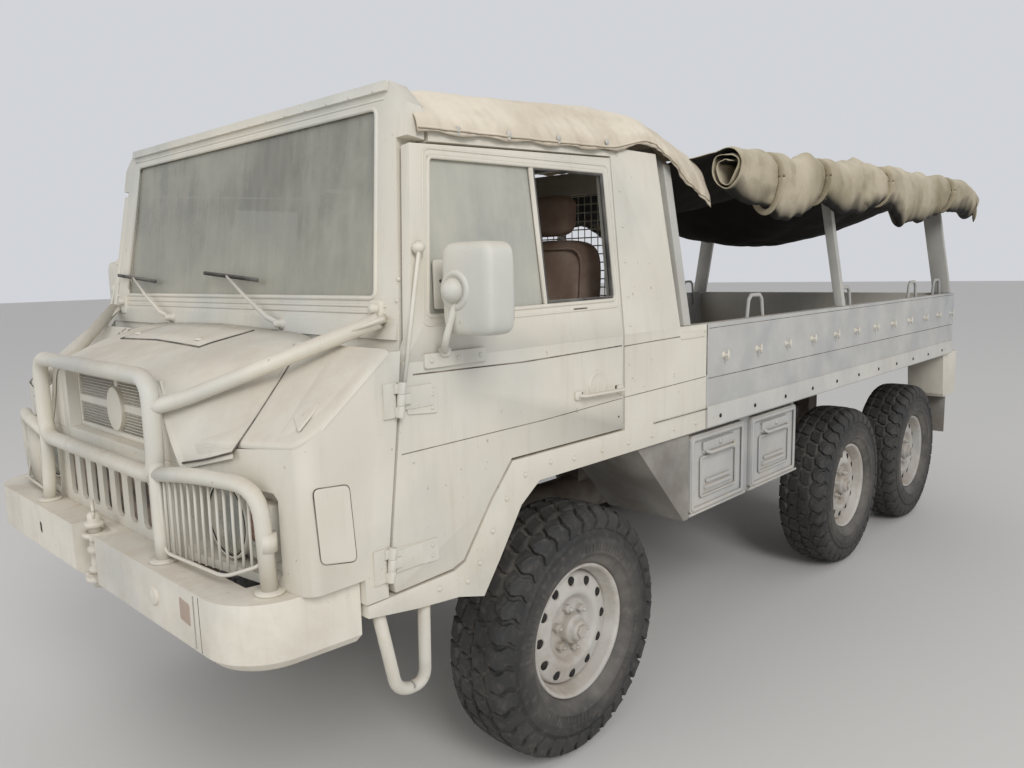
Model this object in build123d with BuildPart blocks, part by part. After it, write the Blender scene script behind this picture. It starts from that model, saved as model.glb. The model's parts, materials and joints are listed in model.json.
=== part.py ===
from build123d import *
import os
from math import cos, radians, sin, tan

os.makedirs("parts", exist_ok=True)

# Light 6x6 cargo truck. Millimetres, +X forward, +Y to the vehicle's left, +Z up.
# The origin is on the ground under the middle of the truck's length. Every x below is
# measured from the front axle, and every z from the ground.

# Overall layout
FRONT_OVERHANG = 1150
WHEELBASE = 2200
BOGIE = 980
REAR_OVERHANG = 670
AXLE_X = (WHEELBASE + BOGIE + REAR_OVERHANG - FRONT_OVERHANG) / 2
FRONT_X = 0
MID_X = -WHEELBASE
REAR_X = -WHEELBASE - BOGIE
TAIL_X = REAR_X - REAR_OVERHANG
SIDES = (("left", 1), ("right", -1))

# Body shell
BODY_HALF = 900
BELT_Z = 1332
RAIL_TOP_Z = 1040
RAIL_Z = 957
LEAN = 7.4
SHUT = 8
PANEL = 44
DOOR_T = 38
PILLAR_INSET = DOOR_T + 4

# Wheels, knuckles and axles
TYRE_R = 400
TYRE_W = 235
RIM_R = 214
WHEEL_Z = TYRE_R
TRACK_HALF = BODY_HALF - 160
KINGPIN_Y = TRACK_HALF - 150
PORTAL_DROP = 78
AXLE_Z = WHEEL_Z + PORTAL_DROP
RUN = 0.5
HUB_IN = 64

# Bent tubes and thin rods have flat-sided sections
TUBE_FACETS = 8
ROD_FACETS = 6

# Cab floor levels
FLOOR_Z = 806
DECK_Z = 985


def at(x, y, z):
    return Vector(AXLE_X + x, y, z)


def side_plane(y):
    return Plane(origin=(AXLE_X, y, 0), x_dir=(1, 0, 0), z_dir=(0, -1, 0))


def cross_plane(x):
    return Plane(origin=(AXLE_X + x, 0, 0), x_dir=(0, 1, 0), z_dir=(1, 0, 0))


def floor_plane(z):
    return Plane(origin=(AXLE_X, 0, z), x_dir=(1, 0, 0), z_dir=(0, 0, 1))


def lean_plane(inset=0):
    down, inward = sin(radians(LEAN)), cos(radians(LEAN))
    start = (AXLE_X, BODY_HALF - inset * inward, BELT_Z - inset * down)
    return Plane(origin=start, x_dir=(1, 0, 0), z_dir=(0, -inward, -down))


def lean_y(z):
    return BODY_HALF - (z - BELT_Z) * tan(radians(LEAN))


def block(x, y, z):
    low, high = zip(x, y, z)
    size = [b - a for a, b in zip(low, high)]
    centre = at(*[(a + b) / 2 for a, b in zip(low, high)])
    return Pos(centre) * Box(*size, mode=Mode.PRIVATE)


def tube(points, tube_r, bend):
    spots = [at(*point) for point in points]
    route = [spots[0]]
    for before, corner, after in zip(spots, spots[1:], spots[2:]):
        route += [corner + (before - corner).normalized() * bend, corner + (after - corner).normalized() * bend]
    route.append(spots[-1])
    with BuildPart(mode=Mode.PRIVATE) as piece:
        with BuildLine() as line:
            Polyline(*route)
        with BuildSketch(Plane(origin=route[0], z_dir=route[1] - route[0])):
            RegularPolygon(tube_r, TUBE_FACETS)
        sweep(path=line.line, transition=Transition.RIGHT)
    return piece.part


def rod(start, end, rod_r, facets=0):
    first, last = at(*start), at(*end)
    with BuildPart(mode=Mode.PRIVATE) as piece:
        with BuildSketch(Plane(origin=first, z_dir=last - first)):
            if facets:
                RegularPolygon(rod_r, facets)
            else:
                Circle(rod_r)
        extrude(amount=(last - first).length)
    return piece.part


def save(part, name):
    part.label = name
    export_step(part, f"parts/{name}.step")


CASING_R = 120
CASING_HALF = 130


def axle_core():
    with BuildPart(mode=Mode.PRIVATE) as core:
        with BuildSketch(Plane.XZ.offset(-CASING_HALF)):
            with Locations((0, AXLE_Z)):
                Circle(CASING_R)
        extrude(amount=2 * CASING_HALF)
        chamfer(core.edges().filter_by(GeomType.CIRCLE), 40)
    return core.part


def placed(part, x):
    return Pos(AXLE_X + x, 0, 0) * part


# Chassis: a central tube with pedestals, cross beams on them, and rails under the cab and the bed
BACKBONE_R = 92
BACKBONE_FRONT = 100
BEAM_H = 70
BEAM_W = 70
BEAM_TOP = 915
BEAM_LOW = BEAM_TOP - BEAM_H
BEAM_HALF = 440
BED_RAIL_Y = 330
BED_RAIL_W = 60
BED_FLOOR_T = 28
CAB_REAR_X = -635
BED_REAR_X = REAR_X - 430
SPRING_TOWER_HALF = 425
SPRING_TOP_Z = FLOOR_Z
BED_FLOOR_Z = RAIL_Z
BEAM_STATIONS = (-330, -1010, -1560, (MID_X + REAR_X) / 2, BED_REAR_X + 130)
FRONT_RAIL_Y = (265, 315)
FRONT_RAIL_LOW = 740
CAB_PAD_Y = (330, 430)
BUMPER_DEPTH = 92
REAR_BEAM_FRONT = BED_REAR_X + 26

with BuildPart() as chassis:
    with BuildSketch(cross_plane(BED_REAR_X + 60)):
        with Locations((0, AXLE_Z)):
            Circle(BACKBONE_R)
    extrude(amount=BACKBONE_FRONT - BED_REAR_X - 60)
    for x in BEAM_STATIONS:
        add(block((x - 50, x + 50), (-55, 55), (AXLE_Z, BEAM_LOW)))
    add(block((-BEAM_W / 2, BEAM_W / 2), (-60, 60), (AXLE_Z, SPRING_TOP_Z)))
    for x in (FRONT_X, MID_X, REAR_X):
        add(placed(axle_core(), x), mode=Mode.SUBTRACT)
save(chassis.part, "chassis_frame")

with BuildPart() as beams:
    for x in BEAM_STATIONS:
        add(block((x - BEAM_W / 2, x + BEAM_W / 2), (-BEAM_HALF, BEAM_HALF), (BEAM_LOW, BEAM_TOP)))
    add(block((-BEAM_W / 2, BEAM_W / 2), (-SPRING_TOWER_HALF, SPRING_TOWER_HALF), (SPRING_TOP_Z, SPRING_TOP_Z + 50)))
save(beams.part, "cross_beams")

with BuildPart() as rails:
    cab_beam = (BEAM_STATIONS[0] - BEAM_W / 2, BEAM_STATIONS[0] + BEAM_W / 2)
    rail_front = FRONT_OVERHANG - BUMPER_DEPTH - RUN
    bed_rail_x = (REAR_BEAM_FRONT + RUN, BEAM_STATIONS[1] + BEAM_W / 2)
    add(block((cab_beam[0], rail_front), FRONT_RAIL_Y, (FRONT_RAIL_LOW, FLOOR_Z - RUN)))
    add(block(cab_beam, FRONT_RAIL_Y, (FRONT_RAIL_LOW, BEAM_LOW)))
    add(block(cab_beam, CAB_PAD_Y, (BEAM_TOP, DECK_Z - RUN)))
    add(block(bed_rail_x, (BED_RAIL_Y - BED_RAIL_W / 2, BED_RAIL_Y + BED_RAIL_W / 2), (BEAM_TOP, BED_FLOOR_Z)))
    mirror(about=Plane.XZ)
save(rails.part, "chassis_rails")

# Engine: one plain block behind the front axle beam's pedestal
ENGINE_X = (75, 640)
ENGINE_HALF = 205
ENGINE_Z = (AXLE_Z + 120, 1040)
with BuildPart() as engine:
    add(block(ENGINE_X, (-ENGINE_HALF, ENGINE_HALF), ENGINE_Z))
    add(block((BEAM_W / 2, ENGINE_X[0]), (-60, 60), (ENGINE_Z[0], 760)))
save(engine.part, "engine_block")

# Axles: casing, half-axle tubes and, at each end, the hub gear housing or the knuckle's yoke
HALF_TUBE_R = 38
KNUCKLE_R = 46
KNUCKLE_Z = (WHEEL_Z - 56, AXLE_Z + 56)
YOKE_T = 24
YOKE_WEB = 30
PORTAL_R = 74
HUB_FACE_Y = TRACK_HALF - HUB_IN


with BuildPart() as front_axle:
    yoke_y = KINGPIN_Y - KNUCKLE_R - 8
    add(placed(axle_core(), FRONT_X))
    with BuildSketch(Plane(origin=at(FRONT_X, 0, AXLE_Z), x_dir=(1, 0, 0), z_dir=(0, 1, 0))):
        Circle(HALF_TUBE_R)
    extrude(amount=yoke_y - YOKE_WEB / 2)
    yoke_low, yoke_high = KNUCKLE_Z[0] - RUN, KNUCKLE_Z[1] + RUN
    add(block((-34, 34), (yoke_y - YOKE_WEB, yoke_y), (yoke_low - YOKE_T, yoke_high + YOKE_T)))
    for z in (yoke_low - YOKE_T, yoke_high):
        add(block((-34, 34), (yoke_y - YOKE_WEB, KINGPIN_Y), (z, z + YOKE_T)))
        with BuildSketch(floor_plane(z)):
            with Locations((0, KINGPIN_Y)):
                Circle(34)
        extrude(amount=YOKE_T)
    mirror(about=Plane.XZ)
save(front_axle.part, "front_axle")

for name, x in (("mid_axle", MID_X), ("rear_axle", REAR_X)):
    with BuildPart() as axle:
        add(placed(axle_core(), x))
        with BuildSketch(Plane(origin=at(x, 0, AXLE_Z), x_dir=(1, 0, 0), z_dir=(0, 1, 0))):
            Circle(HALF_TUBE_R)
        extrude(amount=HUB_FACE_Y - 60)
        with BuildSketch(side_plane(HUB_FACE_Y - RUN)):
            with Locations((x, AXLE_Z), (x, WHEEL_Z)):
                Circle(PORTAL_R)
            make_hull()
        extrude(amount=70)
        mirror(about=Plane.XZ)
    save(axle.part, name)

# Knuckles: a turned housing on the kingpin, the hub stub and the steering arm
STUB_R = 56
ARM_X = 165
ARM_Y = KINGPIN_Y
ARM_T = 22
ARM_Z = WHEEL_Z + 30
ARM_EYE_R = 22
KNUCKLES = {}
with BuildPart() as knuckle:
    with BuildSketch(floor_plane(KNUCKLE_Z[0])):
        with Locations((0, KINGPIN_Y)):
            Circle(KNUCKLE_R)
    extrude(amount=KNUCKLE_Z[1] - KNUCKLE_Z[0])
    with BuildSketch(side_plane(HUB_FACE_Y - RUN)):
        with Locations((0, WHEEL_Z)):
            Circle(STUB_R)
    extrude(amount=HUB_FACE_Y - RUN - KINGPIN_Y)
    with BuildSketch(floor_plane(ARM_Z)):
        with BuildLine():
            Polyline((0, KINGPIN_Y + 20), (ARM_X, ARM_Y + 14), (ARM_X, ARM_Y - 14), (0, KINGPIN_Y - 20), close=True)
        make_face()
        with Locations((ARM_X, ARM_Y)):
            Circle(ARM_EYE_R)
    extrude(amount=ARM_T)
KNUCKLES["left"] = knuckle.part
KNUCKLES["right"] = mirror(knuckle.part, about=Plane.XZ)
for side, hand in SIDES:
    save(KNUCKLES[side], f"front_knuckle_{side}")

# Tie rod: lies on the two arms' eyes, in front of the casing
TIE_R = 15
TIE_EYE_T = 36
with BuildPart() as tie_rod:
    tie_z = ARM_Z + ARM_T + RUN
    rod_z = tie_z + TIE_EYE_T / 2
    add(rod((ARM_X, -ARM_Y, rod_z), (ARM_X, ARM_Y, rod_z), TIE_R))
    for y in (-ARM_Y, ARM_Y):
        with BuildSketch(floor_plane(tie_z)):
            with Locations((ARM_X, y)):
                Circle(ARM_EYE_R)
        extrude(amount=TIE_EYE_T)
save(tie_rod.part, "tie_rod")

# Springs: coils on the front half-axles, leaf packs between the two rear axles
COIL_R = 52
COIL_Y = 375
COIL_RINGS = 5
COIL_SHARE = 0.55
LEAF_Y = 400
LEAF_W = 60
LEAF_T = 14
with BuildPart() as springs:
    coil_low = AXLE_Z + HALF_TUBE_R
    pitch = (SPRING_TOP_Z - coil_low) / COIL_RINGS
    for ring in range(COIL_RINGS):
        for ring_r, low, high in ((COIL_R, 0, COIL_SHARE), (COIL_R - 16, COIL_SHARE, 1)):
            with BuildSketch(floor_plane(coil_low + (ring + low) * pitch)):
                with Locations((0, COIL_Y)):
                    RegularPolygon(ring_r, 12)
            extrude(amount=(high - low) * pitch)
    leaf_mid = (MID_X + REAR_X) / 2
    leaf_low = AXLE_Z + HALF_TUBE_R
    with BuildSketch(side_plane(LEAF_Y + LEAF_W / 2)):
        with BuildLine():
            Polyline((REAR_X - 40, leaf_low), (REAR_X + 40, leaf_low), (leaf_mid - 200, leaf_low + 58), (leaf_mid, leaf_low + 70),
                     (leaf_mid + 200, leaf_low + 58), (MID_X - 40, leaf_low), (MID_X + 40, leaf_low), (MID_X + 40, leaf_low + LEAF_T),
                     (leaf_mid + 260, leaf_low + 105), (leaf_mid + 70, leaf_low + 130), (leaf_mid - 70, leaf_low + 130),
                     (leaf_mid - 260, leaf_low + 105), (REAR_X - 40, leaf_low + LEAF_T), close=True)
        make_face()
    extrude(amount=LEAF_W)
    add(block((leaf_mid - 55, leaf_mid + 55), (LEAF_Y - LEAF_W / 2, LEAF_Y + LEAF_W / 2), (leaf_low + 130, BEAM_LOW)))
    mirror(about=Plane.XZ)
save(springs.part, "suspension_springs")

# Wheels: dished steel disc with a ring of round vents, hub nose and nuts left plain
WHEEL_OUT = 84
VENTS = 12
VENT_R = 19
VENT_RING = 156
VENT_FACETS = 8
HUB_NOSE_R = 44
with BuildPart() as wheel_core:
    with BuildSketch(Plane.XY):
        with BuildLine():
            Polyline(
                (0, -HUB_IN), (STUB_R, -HUB_IN), (118, 38), (176, 22), (190, -WHEEL_OUT), (RIM_R, -WHEEL_OUT),
                (RIM_R, WHEEL_OUT), (198, WHEEL_OUT), (183, 40), (132, 60), (92, 42), (HUB_NOSE_R + 4, 42),
                (HUB_NOSE_R, 92), (0, 92), close=True)
        make_face()
    revolve(axis=Axis.Y)
    with BuildSketch(Plane.XZ.offset(-120)):
        with PolarLocations(VENT_RING, VENTS):
            RegularPolygon(VENT_R, VENT_FACETS)
    extrude(amount=200, mode=Mode.SUBTRACT)

# Tyres: a carcass out to the tread blocks' tips, with sloping shoulders and a bead each side
SHOULDER_HALF = 88
BEAD_R = RIM_R + 0.3
with BuildPart() as tyre_core:
    with BuildSketch(Plane.XY):
        half = TYRE_W / 2
        with BuildLine():
            Polyline((BEAD_R, -80), (RIM_R + 62, -half), (TYRE_R - 46, -half + 5), (TYRE_R, -SHOULDER_HALF),
                     (TYRE_R, SHOULDER_HALF), (TYRE_R - 46, half - 5), (RIM_R + 62, half), (BEAD_R, 80), close=True)
        make_face()
    revolve(axis=Axis.Y)

for station, x in (("front", FRONT_X), ("mid", MID_X), ("rear", REAR_X)):
    for side, hand in SIDES:
        turn = 0 if hand > 0 else 180
        spot = Pos(AXLE_X + x, hand * TRACK_HALF, WHEEL_Z) * Rot(0, 0, turn)
        save(spot * wheel_core.part, f"wheel_{station}_{side}")
        save(spot * tyre_core.part, f"tyre_{station}_{side}")

# Front bumper: two rounded box halves that wrap the corners, with the tow coupling between them
BUMPER_FACE = FRONT_OVERHANG
BUMPER_Z = (692, 850)
BUMPER_END = 860
BUMPER_HALF = BODY_HALF - 20
BUMPER_CORNER = 150
COUPLING_GAP = 85
BUMPER_TURN = 24
with BuildPart() as bumper:
    with BuildSketch(floor_plane(BUMPER_Z[0])):
        with BuildLine():
            FilletPolyline((BUMPER_END, BUMPER_HALF), (BUMPER_FACE, BUMPER_HALF - 26), (BUMPER_FACE, 0),
                           radius=BUMPER_CORNER)
            Polyline((BUMPER_FACE, 0), (BUMPER_FACE - BUMPER_DEPTH, 0), (BUMPER_FACE - BUMPER_DEPTH, BUMPER_HALF - 150),
                     (BUMPER_END, BUMPER_HALF - 110), (BUMPER_END, BUMPER_HALF))
        make_face()
    extrude(amount=BUMPER_Z[1] - BUMPER_Z[0])
    outer = bumper.edges().filter_by_position(Axis.X, AXLE_X + BUMPER_END + 1, AXLE_X + BUMPER_FACE + 1)
    lower = outer.group_by(Axis.Z)[0].sort_by(lambda e: (e.center() - at(0, 0, 0)).length)[-3:]
    chamfer(lower, BUMPER_TURN)
    add(block((BUMPER_FACE - 62, BUMPER_FACE + 5), (-5, COUPLING_GAP), (600, 900)), mode=Mode.SUBTRACT)
    mirror(about=Plane.XZ)
    for z in (BUMPER_Z[0] + 12, BUMPER_Z[1] - 26):
        add(block((BUMPER_FACE - 65, BUMPER_FACE - 8), (-38, 38), (z, z + 14)))
    add(rod((BUMPER_FACE - 32, 0, BUMPER_Z[0] - 4), (BUMPER_FACE - 32, 0, BUMPER_Z[1] + 14), 15))
save(bumper.part, "front_bumper")

# Door hinges: their pins lie outside the panels on one slanting line
HINGE_Y = BODY_HALF + 13
HINGE_HIGH = (745, 1248)
HINGE_LOW = (792, 870)
HINGE_R = 10
HINGE_SLOPE = (HINGE_LOW[0] - HINGE_HIGH[0]) / (HINGE_HIGH[1] - HINGE_LOW[1])

# Nose: fenders, front wall with slots, lamp recesses and the surround of the upper grille
NOSE_FACE = 1060
NOSE_REAR = 732
NOSE_LOW = BUMPER_Z[1] + RUN
FENDER_TOP_REAR = 1358
FENDER_TOP_FRONT = 1143
FENDER_BEND_X = 772
FENDER_LIP = 1085
FACE_FLAT_HALF = 425
CORNER_X = 1000
SURROUND_HALF = 352
SURROUND_TOP = 1284
SURROUND_DEPTH = 72
MESH_HALF = 300
MESH_Z = (1092, 1268)
SLOT_PITCH = 90
SLOTS = 8
SLOT_W = 50
SLOT_Z = (878, 1010)
LAMP_POCKET_Y = (452, 812)
LAMP_POCKET_Z = (872, 1068)
LAMP_POCKET_DEPTH = 80
CAVITY_FRONT = NOSE_FACE - LAMP_POCKET_DEPTH - 30
FENDER_TOP = ((NOSE_REAR, FENDER_TOP_REAR), (FENDER_BEND_X, FENDER_TOP_REAR), (NOSE_FACE - 18, FENDER_TOP_FRONT),
              (NOSE_FACE, FENDER_LIP))
FENDER_LINE = ((794, NOSE_LOW), (740, 1274), *FENDER_TOP, (NOSE_FACE, NOSE_LOW))
RAISED_PANEL = ((1037, 92), (800, 192), (782, 140), (782, 32), (1037, 32))
RAISED_BY = 6


FENDER_FALL = (FENDER_TOP_REAR - FENDER_TOP_FRONT) / (NOSE_FACE - 18 - FENDER_BEND_X)


def fender_plane():
    start = at(FENDER_BEND_X, 0, FENDER_TOP_REAR)
    return Plane(origin=start, x_dir=(1, 0, -FENDER_FALL), z_dir=(FENDER_FALL, 0, 1))


def fender_run(x):
    return (x - FENDER_BEND_X) * (1 + FENDER_FALL ** 2) ** 0.5


def corner_cut(hand):
    with BuildPart(mode=Mode.PRIVATE) as piece:
        with BuildSketch(floor_plane(NOSE_LOW - 1)):
            with BuildLine():
                Polyline((NOSE_FACE + 2, hand * FACE_FLAT_HALF), (CORNER_X, hand * (BODY_HALF + 4)),
                         (NOSE_FACE + 10, hand * (BODY_HALF + 4)), (NOSE_FACE + 10, hand * FACE_FLAT_HALF), close=True)
            make_face()
        extrude(amount=600)
    return piece.part


def surround_front(half):
    with BuildPart(mode=Mode.PRIVATE) as piece:
        add(block((NOSE_FACE - SURROUND_DEPTH, NOSE_FACE), (-half, half), (FENDER_LIP - 60, SURROUND_TOP)))
    return piece.part


with BuildPart() as nose:
    with BuildSketch(side_plane(BODY_HALF)):
        with BuildLine():
            Polyline(*FENDER_LINE, close=True)
        make_face()
    extrude(amount=2 * BODY_HALF)
    for hand in (1, -1):
        add(corner_cut(hand), mode=Mode.SUBTRACT)
    fillet(nose.edges().filter_by(Axis.Z).group_by(Axis.Y)[0], 40)
    fillet(nose.edges().filter_by(Axis.Z).group_by(Axis.Y)[-1], 40)
    with BuildSketch(side_plane(BODY_HALF - PANEL)):
        with BuildLine():
            Polyline((NOSE_REAR - 1, NOSE_LOW - 1), (NOSE_REAR - 1, FENDER_TOP_REAR - 52), (NOSE_REAR + 20, FENDER_TOP_REAR - 66),
                     (CAVITY_FRONT, FENDER_TOP_FRONT - 22), (CAVITY_FRONT, NOSE_LOW - 1), close=True)
        make_face()
    extrude(amount=2 * (BODY_HALF - PANEL), mode=Mode.SUBTRACT)
    add(surround_front(SURROUND_HALF))
    add(block((NOSE_FACE - 48, NOSE_FACE + 1), (-MESH_HALF, MESH_HALF), MESH_Z), mode=Mode.SUBTRACT)
    with BuildSketch(cross_plane(NOSE_FACE + 1)) as slots:
        with Locations((0, (SLOT_Z[0] + SLOT_Z[1]) / 2)):
            with GridLocations(SLOT_PITCH, 1, SLOTS, 1):
                Rectangle(SLOT_W, SLOT_Z[1] - SLOT_Z[0])
        chamfer(slots.vertices(), 10)
    extrude(amount=-40, mode=Mode.SUBTRACT)
    for hand in (1, -1):
        with BuildSketch(cross_plane(NOSE_FACE + 1)) as pocket:
            with Locations((hand * sum(LAMP_POCKET_Y) / 2, sum(LAMP_POCKET_Z) / 2)):
                Rectangle(LAMP_POCKET_Y[1] - LAMP_POCKET_Y[0], LAMP_POCKET_Z[1] - LAMP_POCKET_Z[0])
            chamfer(pocket.vertices(), 14)
        extrude(amount=-LAMP_POCKET_DEPTH - 1, mode=Mode.SUBTRACT)
        with BuildSketch(fender_plane()):
            with BuildLine():
                Polyline(*[(fender_run(x), hand * (BODY_HALF - inset)) for x, inset in RAISED_PANEL], close=True)
            make_face()
        extrude(amount=RAISED_BY)
        corner_y = hand * (BODY_HALF - PANEL / 2)
        low_corner = block((795, BUMPER_END - 2), sorted((corner_y - 22, corner_y + 22)), (BUMPER_Z[1] - 60, NOSE_LOW))
        add(low_corner)
        for x, z in (HINGE_HIGH, HINGE_LOW):
            for low, high in ((z - 40, z - 13.5), (z + 13.5, z + 40)):
                top_x, foot_x = x - (high - z) * HINGE_SLOPE, x - (low - z) * HINGE_SLOPE
                add(rod((top_x, hand * HINGE_Y, high), (foot_x, hand * HINGE_Y, low), HINGE_R, TUBE_FACETS))
                leaf_y = sorted((hand * (BODY_HALF - 1), hand * (HINGE_Y - 1)))
                add(block((x + 2, x + 16), leaf_y, (low + 2.5, high - 2.5)))
            add(block((x + 10, x + 44), sorted((hand * (BODY_HALF - 1), hand * (BODY_HALF + 6))), (z - 40, z + 40)))
save(nose.part, "nose_body")

# Bonnet: a raised centre panel whose sloping shoulders are widest low down at the front
BONNET_REAR = 712
COWL_Z = 1337
BONNET_LIP = 12
BONNET_SKIRT = 90
BONNET_ROWS = (
    # x, half width and z of the top, of the shoulder and of the foot
    (BONNET_REAR, (520, 1380), (560, 1378), (588, 1368)),
    (870, (400, 1352), (470, 1328), (612, 1290)),
    (NOSE_FACE, (310, 1300), (356, 1222), (676, 1138)),
)
with BuildPart() as bonnet:
    for x, top, shoulder, foot in BONNET_ROWS:
        with BuildSketch(cross_plane(x)):
            with BuildLine():
                half_line = (top, shoulder, foot, (foot[0], foot[1] - BONNET_SKIRT))
                Polyline((0, top[1] + 4), *half_line, *[(-y, z) for y, z in reversed(half_line)], close=True)
            make_face()
    loft(ruled=True)
    add(block((NOSE_FACE - 1, NOSE_FACE + BONNET_LIP), (-SURROUND_HALF, SURROUND_HALF), (SURROUND_TOP, SURROUND_TOP + 16)))
    add(block((BONNET_REAR, NOSE_REAR), (-BODY_HALF + PILLAR_INSET, BODY_HALF - PILLAR_INSET), (COWL_Z, FENDER_TOP_REAR)))
    with BuildSketch(side_plane(BODY_HALF + 1)):
        with BuildLine():
            Polyline((BONNET_REAR - 1, 1000), (BONNET_REAR - 1, COWL_Z), (NOSE_REAR, COWL_Z), *FENDER_TOP, (NOSE_FACE, 1000),
                     close=True)
        make_face()
    extrude(amount=2 * BODY_HALF + 2, mode=Mode.SUBTRACT)
    add(surround_front(SURROUND_HALF), mode=Mode.SUBTRACT)
    for hand in (1, -1):
        add(corner_cut(hand), mode=Mode.SUBTRACT)
save(bonnet.part, "bonnet")

# Upper grille: a thin panel behind a cross of flat bars with a bare oval disc
GRILLE_BAR = 22
DISC_HALF = (52, 62)
with BuildPart() as upper_grille:
    fit = 0.3
    mesh_mid = sum(MESH_Z) / 2
    mesh_height = MESH_Z[1] - MESH_Z[0]
    add(block((NOSE_FACE - 48, NOSE_FACE - 42), (-MESH_HALF + fit, MESH_HALF - fit), (MESH_Z[0] + fit, MESH_Z[1] - fit)))
    with BuildSketch(cross_plane(NOSE_FACE - 42)):
        with Locations((0, mesh_mid)):
            Rectangle(2 * (MESH_HALF - fit), GRILLE_BAR)
            Rectangle(GRILLE_BAR, mesh_height - 2 * fit)
            Rectangle(2 * (MESH_HALF - fit), mesh_height - 2 * fit)
            Rectangle(2 * (MESH_HALF - fit) - 28, mesh_height - 28, mode=Mode.SUBTRACT)
            Rectangle(2 * (MESH_HALF - fit) - 20, GRILLE_BAR)
            Rectangle(GRILLE_BAR, mesh_height - 20)
    extrude(amount=10)
    with BuildSketch(cross_plane(NOSE_FACE - 42)):
        with Locations((0, mesh_mid - 6)):
            Ellipse(*DISC_HALF)
    extrude(amount=20)
save(upper_grille.part, "upper_grille")

# Lamps: round headlamps and upright indicators standing in the nose's recesses
LAMP_R = 90
LAMP_Y = 598
LAMP_Z = 972
LAMP_REACH = 44
with BuildPart() as lamps:
    back = NOSE_FACE - LAMP_POCKET_DEPTH
    with BuildSketch(Plane(origin=at(0, LAMP_Y, LAMP_Z), x_dir=(1, 0, 0), z_dir=(0, -1, 0))):
        with BuildLine():
            Polyline((back, 0), (back, LAMP_R - 6), (back + LAMP_REACH, LAMP_R), (back + LAMP_REACH + 9, LAMP_R * 0.6),
                     (back + LAMP_REACH + 14, 0), close=True)
        make_face()
    revolve(axis=Axis(at(0, LAMP_Y, LAMP_Z), (1, 0, 0)))
    with BuildSketch(cross_plane(back)) as indicator:
        with Locations((729, LAMP_Z - 4)):
            Rectangle(66, 128)
        chamfer(indicator.vertices(), 10)
    extrude(amount=38)
    mirror(about=Plane.XZ)
save(lamps.part, "front_lamps")

# Grille guard: a loop round the upper grille on two legs, lamp hoops, side stays and rods
SCREEN_X_AT_FOOT = 700
GUARD_R = 22
GUARD_X = 1098
GUARD_HALF = 402
GUARD_TOP = 1300
GUARD_LOW = 1056
GUARD_BEND = 42
HOOP_OUT = BODY_HALF - 104
HOOP_X = 1046
STAY_FOOT = (716, BODY_HALF - 94, 1422)
ROD_R = 4
RODS = 11
ROD_FOOT = BUMPER_Z[1] + 22
with BuildPart() as guard:
    bumper_top = BUMPER_Z[1] + 3 * RUN
    half_loop = ((GUARD_X, 0, GUARD_TOP), (GUARD_X, GUARD_HALF, GUARD_TOP), (GUARD_X, GUARD_HALF, GUARD_LOW), (GUARD_X, 0, GUARD_LOW))
    add(tube(half_loop, GUARD_R, GUARD_BEND))
    leg_top = (GUARD_X, GUARD_HALF, GUARD_LOW + 60)
    add(rod((GUARD_X + 6, GUARD_HALF + 14, bumper_top), leg_top, GUARD_R - 3, TUBE_FACETS))
    lamp_hoop = ((GUARD_X, GUARD_HALF - 20, GUARD_LOW + 6), (GUARD_X - 6, 610, 1092), (HOOP_X, HOOP_OUT, 1092),
                 (HOOP_X - 8, HOOP_OUT, bumper_top))
    add(tube(lamp_hoop, GUARD_R - 3, 44))
    stay = ((GUARD_X, GUARD_HALF, 1228), (GUARD_X - 60, GUARD_HALF + 50, 1246), STAY_FOOT)
    add(tube(stay, GUARD_R - 2, 25))
    add(block((SCREEN_X_AT_FOOT + 1.5, STAY_FOOT[0] + 4), (STAY_FOOT[1] - 26, STAY_FOOT[1] + 26), (STAY_FOOT[2] - 14, STAY_FOOT[2] + 26)))
    for index in range(RODS):
        share = (index + 1) / (RODS + 1)
        y = GUARD_HALF + 14 + share * (HOOP_OUT - GUARD_HALF - 30)
        x = GUARD_X + 2 + share * (HOOP_X - GUARD_X)
        add(rod((x, y, ROD_FOOT), (x - 4, y - 2, 1082), ROD_R, ROD_FACETS))
    foot_wire = ((GUARD_X + 4, GUARD_HALF + 10, ROD_FOOT), (HOOP_X - 4, HOOP_OUT, ROD_FOOT))
    add(rod(*foot_wire, ROD_R, ROD_FACETS))
    mirror(about=Plane.XZ)
save(guard.part, "grille_guard")

# Windscreen: a raked frame with a flanged header and two wipers, and one pane
RAKE = 7.8
SCREEN_FOOT_Z = 1345
SCREEN_TOP_Z = 1991
SCREEN_T = 52
PANE_Z = (1474, SCREEN_TOP_Z - 57)
PANE_HALF = (BODY_HALF - 152, BODY_HALF - 194)
PANE_T = 6
WIPER_BASES = (345, -345)
HEAD_Z = SCREEN_TOP_Z - 139
HEADER_HALF = BODY_HALF - 148


def screen_plane(back=0):
    normal = (cos(radians(RAKE)), 0, sin(radians(RAKE)))
    foot = at(SCREEN_X_AT_FOOT, 0, SCREEN_FOOT_Z) - Vector(*normal) * back
    return Plane(origin=foot, x_dir=(0, 1, 0), z_dir=normal)


def up_screen(z):
    return (z - SCREEN_FOOT_Z) / cos(radians(RAKE))


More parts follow.
